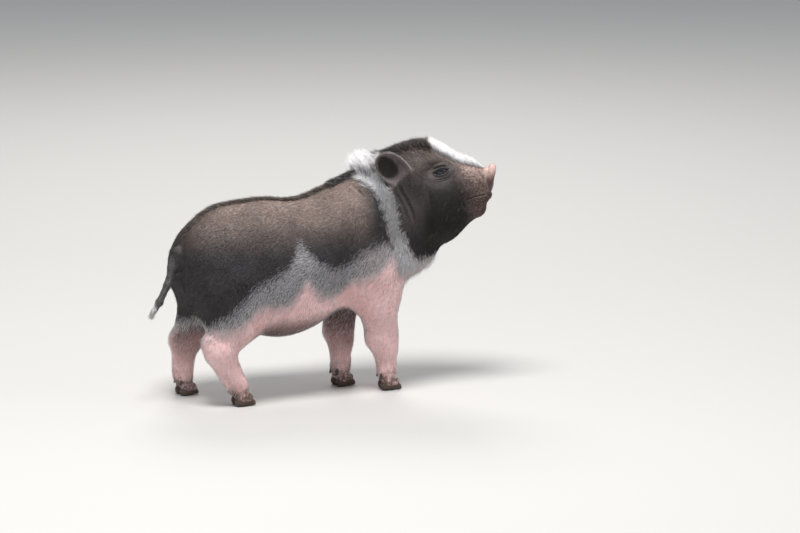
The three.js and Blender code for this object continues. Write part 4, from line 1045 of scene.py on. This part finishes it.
# ------------------------------------------------------------------ claws and dewclaws
def small(name, F, lo, hi, h):
    X, Y, Z = [np.arange(lo[i] - h, hi[i] + 2 * h, h) for i in range(3)]
    G = np.stack(np.meshgrid(X, Y, Z, indexing="ij"), -1)
    v, q = nets(F(G.reshape(-1, 3)).reshape(G.shape[:3]), X, Y, Z)
    return mesh_object(name, v, q)


claws = {}
for leg in FEET:
    (fx, fy), yw, s = FEET[leg]
    both = lambda P, leg=leg: np.minimum(claw(P, leg, -1), claw(P, leg, 1))
    claws["hoof_" + leg] = small("claws_" + leg, both, (fx - 12, fy - 16, 0.0), (fx + 18, fy + 16, 15), 0.62)
    dew = lambda P, leg=leg: np.minimum(dewclaw(P, leg, -1), dewclaw(P, leg, 1))
    claws["dewclaw_" + leg] = small("dewclaws_" + leg, dew, (fx - 16, fy - 14, 9), (fx + 2, fy + 14, 23), 0.6)
for ob in claws.values():
    co = np.empty(len(ob.data.vertices) * 3, np.float32)
    ob.data.vertices.foreach_get("co", co)
    co = co.reshape(-1, 3)
    co[:, 2] = np.maximum(co[:, 2], 0.0)
    ob.data.vertices.foreach_set("co", co.ravel())


# ------------------------------------------------------------------ materials
def material(name):
    mt = bpy.data.materials.new(name)
    mt.use_nodes = True
    nt = mt.node_tree
    return mt, nt, nt.nodes["Principled BSDF"]


def node(nt, kind, **kw):
    n = nt.nodes.new(kind)
    for k, v_ in kw.items():
        if k in n.inputs:
            n.inputs[k].default_value = v_
        else:
            setattr(n, k, v_)
    return n


def attribute(nt, name):
    n = nt.nodes.new("ShaderNodeAttribute")
    n.attribute_name = name
    return n


def ramp(nt, source, stops):
    r = nt.nodes.new("ShaderNodeValToRGB")
    el = r.color_ramp.elements
    while len(el) > 1:
        el.remove(el[-1])
    el[0].position, el[0].color = stops[0][0], tuple(stops[0][1]) + (1,)
    for p, c in stops[1:]:
        e = el.new(p)
        e.color = tuple(c) + (1,)
    nt.links.new(source, r.inputs["Fac"])
    return r


def maths(nt, op, a, b=None):
    n = nt.nodes.new("ShaderNodeMath")
    n.operation = op
    for i, s in enumerate((a, b)):
        if s is None:
            continue
        if isinstance(s, (int, float)):
            n.inputs[i].default_value = s
        else:
            nt.links.new(s, n.inputs[i])
    return n.outputs[0]


def blend_rgb(nt, mode, fac, a, b):
    n = nt.nodes.new("ShaderNodeMix")
    n.data_type, n.blend_type = "RGBA", mode
    for sock, val in ((n.inputs[0], fac), (n.inputs[6], a), (n.inputs[7], b)):
        if isinstance(val, (int, float)):
            sock.default_value = val
        elif isinstance(val, tuple):
            sock.default_value = val + (1,)
        else:
            nt.links.new(val, sock)
    return n.outputs[2]


# skin: tone from the markings, pores and dirt, short flat hair as fine bump
skin_mat, nt, bsdf = material("pig_skin")
tone_n, wet_n = attribute(nt, "tone"), attribute(nt, "wet")
geo = nt.nodes.new("ShaderNodeTexCoord")
stretch = nt.nodes.new("ShaderNodeMapping")
stretch.inputs["Scale"].default_value = (420, 1300, 900)
nt.links.new(geo.outputs["Object"], stretch.inputs["Vector"])
fine = node(nt, "ShaderNodeTexNoise", Scale=1.0, Detail=3.0, Roughness=0.6)
nt.links.new(stretch.outputs[0], fine.inputs["Vector"])
speck = node(nt, "ShaderNodeTexNoise", Scale=1500.0, Detail=2.0, Roughness=0.7)
nt.links.new(geo.outputs["Object"], speck.inputs["Vector"])
blotch = node(nt, "ShaderNodeTexNoise", Scale=120.0, Detail=4.0, Roughness=0.6)
nt.links.new(geo.outputs["Object"], blotch.inputs["Vector"])
pores = node(nt, "ShaderNodeTexVoronoi", Scale=720.0)
nt.links.new(geo.outputs["Object"], pores.inputs["Vector"])
g1 = ramp(nt, speck.outputs[0], [(0.30, (0.70, 0.70, 0.70)), (0.5, (1, 1, 1)), (0.72, (1.28, 1.25, 1.22))])
c1 = blend_rgb(nt, "MULTIPLY", 0.75, tone_n.outputs["Color"], g1.outputs[0])
g2 = ramp(nt, blotch.outputs[0], [(0.3, (0.86, 0.82, 0.80)), (0.5, (1, 1, 1)), (0.7, (1.10, 1.05, 1.04))])
c2 = blend_rgb(nt, "MULTIPLY", 0.8, c1, g2.outputs[0])
nt.links.new(c2, bsdf.inputs["Base Color"])
rough = maths(nt, "SUBTRACT", maths(nt, "ADD", 0.50, maths(nt, "MULTIPLY", blotch.outputs[0], 0.16)), maths(nt, "MULTIPLY", wet_n.outputs["Fac"], 0.26))
nt.links.new(rough, bsdf.inputs["Roughness"])
bsdf.inputs["Specular IOR Level"].default_value = 0.30
bsdf.inputs["Subsurface Weight"].default_value = 0.08
bsdf.inputs["Subsurface Radius"].default_value = (0.0035, 0.0013, 0.0009)
bsdf.inputs["Subsurface Scale"].default_value = 1.0
b1 = node(nt, "ShaderNodeBump", Strength=0.55, Distance=0.00035)
nt.links.new(fine.outputs[0], b1.inputs["Height"])
b2 = node(nt, "ShaderNodeBump", Strength=0.4, Distance=0.0003)
nt.links.new(pores.outputs["Distance"], b2.inputs["Height"])
nt.links.new(b1.outputs[0], b2.inputs["Normal"])
b3 = node(nt, "ShaderNodeBump", Strength=0.35, Distance=0.0008)
nt.links.new(blotch.outputs[0], b3.inputs["Height"])
nt.links.new(b2.outputs[0], b3.inputs["Normal"])
nt.links.new(b3.outputs[0], bsdf.inputs["Normal"])
skin_ob.data.materials.append(skin_mat)

# hair: tone from the hair itself, a little uneven along it
hair_mat, nt, bsdf = material("pig_hair")
tone_n = attribute(nt, "tone")
geo = nt.nodes.new("ShaderNodeTexCoord")
speck = node(nt, "ShaderNodeTexNoise", Scale=260.0, Detail=3.0, Roughness=0.6)
nt.links.new(geo.outputs["Object"], speck.inputs["Vector"])
g1 = ramp(nt, speck.outputs[0], [(0.32, (0.82, 0.81, 0.80)), (0.5, (1, 1, 1)), (0.68, (1.12, 1.11, 1.10))])
c1 = blend_rgb(nt, "MULTIPLY", 0.8, tone_n.outputs["Color"], g1.outputs[0])
nt.links.new(c1, bsdf.inputs["Base Color"])
bsdf.inputs["Roughness"].default_value = 0.48
bsdf.inputs["Specular IOR Level"].default_value = 0.26
for ob in coat_pieces:
    ob.data.materials.append(hair_mat)

# eye: a dark iris, tinted blue-grey as a painted reflection of the sky, round a wide dark pupil, brown-white rim, wet
eye_mat, nt, bsdf = material("pig_eye")
out_n, sx_n, sz_n = attribute(nt, "out"), attribute(nt, "sx"), attribute(nt, "sz")
pup = maths(nt, "SQRT", maths(nt, "ADD", maths(nt, "POWER", maths(nt, "MULTIPLY", sx_n.outputs["Fac"], 0.85), 2.0), maths(nt, "POWER", maths(nt, "MULTIPLY", sz_n.outputs["Fac"], 1.15), 2.0)))
fib = nt.nodes.new("ShaderNodeCombineXYZ")
nt.links.new(maths(nt, "ARCTAN2", sz_n.outputs["Fac"], sx_n.outputs["Fac"]), fib.inputs[0])
nt.links.new(maths(nt, "MULTIPLY", out_n.outputs["Fac"], 0.6), fib.inputs[1])
fn = node(nt, "ShaderNodeTexNoise", Scale=9.0, Detail=4.0, Roughness=0.65)
nt.links.new(fib.outputs[0], fn.inputs["Vector"])
# painted reflection: the iris ramp is blue-grey for the sky seen in the wet eye
iris_and_sky_reflection = ramp(nt, fn.outputs[0], [(0.30, (0.024, 0.021, 0.030)), (0.55, (0.062, 0.060, 0.092)), (0.75, (0.125, 0.125, 0.185))])
edge_n = ramp(nt, out_n.outputs["Fac"], [(0.0, (1, 1, 1)), (0.56, (1, 1, 1)), (0.64, (0, 0, 0))])
white = ramp(nt, fn.outputs[0], [(0.35, (0.15, 0.115, 0.115)), (0.7, (0.28, 0.235, 0.24))])
c1 = blend_rgb(nt, "MIX", edge_n.outputs[0], white.outputs[0], iris_and_sky_reflection.outputs[0])
pn = ramp(nt, pup, [(0.0, (0, 0, 0)), (0.31, (0, 0, 0)), (0.38, (1, 1, 1))])
c2 = blend_rgb(nt, "MIX", pn.outputs[0], (0.004, 0.004, 0.005), c1)
nt.links.new(c2, bsdf.inputs["Base Color"])
bsdf.inputs["Roughness"].default_value = 0.06
bsdf.inputs["Specular IOR Level"].default_value = 0.45
bsdf.inputs["Coat Weight"].default_value = 0.35
bsdf.inputs["Coat Roughness"].default_value = 0.03
for ob in eyes.values():
    ob.data.materials.append(eye_mat)

# horn: dark claws, worn and muddy
horn_mat, nt, bsdf = material("pig_horn")
geo = nt.nodes.new("ShaderNodeTexCoord")
sc_ = nt.nodes.new("ShaderNodeMapping")
sc_.inputs["Scale"].default_value = (160, 160, 900)
nt.links.new(geo.outputs["Object"], sc_.inputs["Vector"])
rings_ = node(nt, "ShaderNodeTexNoise", Scale=1.0, Detail=3.0, Roughness=0.6)
nt.links.new(sc_.outputs[0], rings_.inputs["Vector"])
mud = node(nt, "ShaderNodeTexNoise", Scale=420.0, Detail=5.0, Roughness=0.7)
nt.links.new(geo.outputs["Object"], mud.inputs["Vector"])
horn = ramp(nt, rings_.outputs[0], [(0.3, (0.030, 0.021, 0.017)), (0.55, (0.075, 0.050, 0.038)), (0.8, (0.16, 0.11, 0.085))])
mudc = ramp(nt, mud.outputs[0], [(0.42, (0, 0, 0)), (0.58, (1, 1, 1))])
c1 = blend_rgb(nt, "MIX", mudc.outputs[0], horn.outputs[0], (0.080, 0.050, 0.034))
nt.links.new(c1, bsdf.inputs["Base Color"])
rr = ramp(nt, mud.outputs[0], [(0.42, (0.42, 0.42, 0.42)), (0.58, (0.85, 0.85, 0.85))])
nt.links.new(rr.outputs[0], bsdf.inputs["Roughness"])
bb = node(nt, "ShaderNodeBump", Strength=0.6, Distance=0.0006)
nt.links.new(mud.outputs[0], bb.inputs["Height"])
b2 = node(nt, "ShaderNodeBump", Strength=0.5, Distance=0.0003)
nt.links.new(rings_.outputs[0], b2.inputs["Height"])
nt.links.new(bb.outputs[0], b2.inputs["Normal"])
nt.links.new(b2.outputs[0], bsdf.inputs["Normal"])
for ob in claws.values():
    ob.data.materials.append(horn_mat)

# ------------------------------------------------------------------ floor and light
bpy.ops.mesh.primitive_plane_add(size=8.0, location=(0, 0, -0.0005))
floor = bpy.context.object
floor.name = "floor"
floor_mat, nt, bsdf = material("floor_plain")
fn = node(nt, "ShaderNodeTexNoise", Scale=3.0, Detail=2.0)
fr = ramp(nt, fn.outputs[0], [(0.3, (0.50, 0.49, 0.475)), (0.7, (0.54, 0.53, 0.515))])
nt.links.new(fr.outputs[0], bsdf.inputs["Base Color"])
bsdf.inputs["Roughness"].default_value = 0.85
floor.data.materials.append(floor_mat)

world = bpy.data.worlds.new("studio")
bpy.context.scene.world = world
world.use_nodes = True
bg = world.node_tree.nodes["Background"]
bg.inputs["Color"].default_value = (0.88, 0.93, 1.0, 1)
bg.inputs["Strength"].default_value = 0.42


def area(name, at, to, size, power, color=(1, 1, 1)):
    d = bpy.data.lights.new(name, "AREA")
    d.shape, d.size, d.energy, d.color = "DISK", size, power, color
    o = bpy.data.objects.new(name, d)
    o.location = at
    o.rotation_euler = (Vector(to) - Vector(at)).to_track_quat("-Z", "Y").to_euler()
    bpy.context.scene.collection.objects.link(o)


area("key", (-0.4, -0.7, 2.2), (0, 0, 0.12), 0.9, 70, (1.0, 0.985, 0.965))
area("rim", (0.5, 1.6, 1.6), (0, 0, 0.15), 1.0, 22, (1.0, 0.98, 0.95))
area("fill", (1.9, -1.6, 0.8), (0.1, 0, 0.12), 1.4, 7, (0.93, 0.96, 1.0))

# ------------------------------------------------------------------ what each piece rides on and stands for
FLESH = ["trunk", "neck", "head", "snout", "jaw", "ear_left", "ear_right", "tail"] + [
    "%s_%s_%s" % (a, b, c) for a in ("fore", "hind") for b in ("left", "right") for c in ("upper", "lower")]
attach(skin_ob, "root")
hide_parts(*FLESH)
for ob in coat_pieces:
    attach(ob, "root")
for side, ob in eyes.items():
    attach(ob, "root")
    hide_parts("eye_" + side)
for n_, ob in claws.items():
    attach(ob, "root")
    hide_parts(n_ + "_left", n_ + "_right")

bpy.context.view_layer.update()
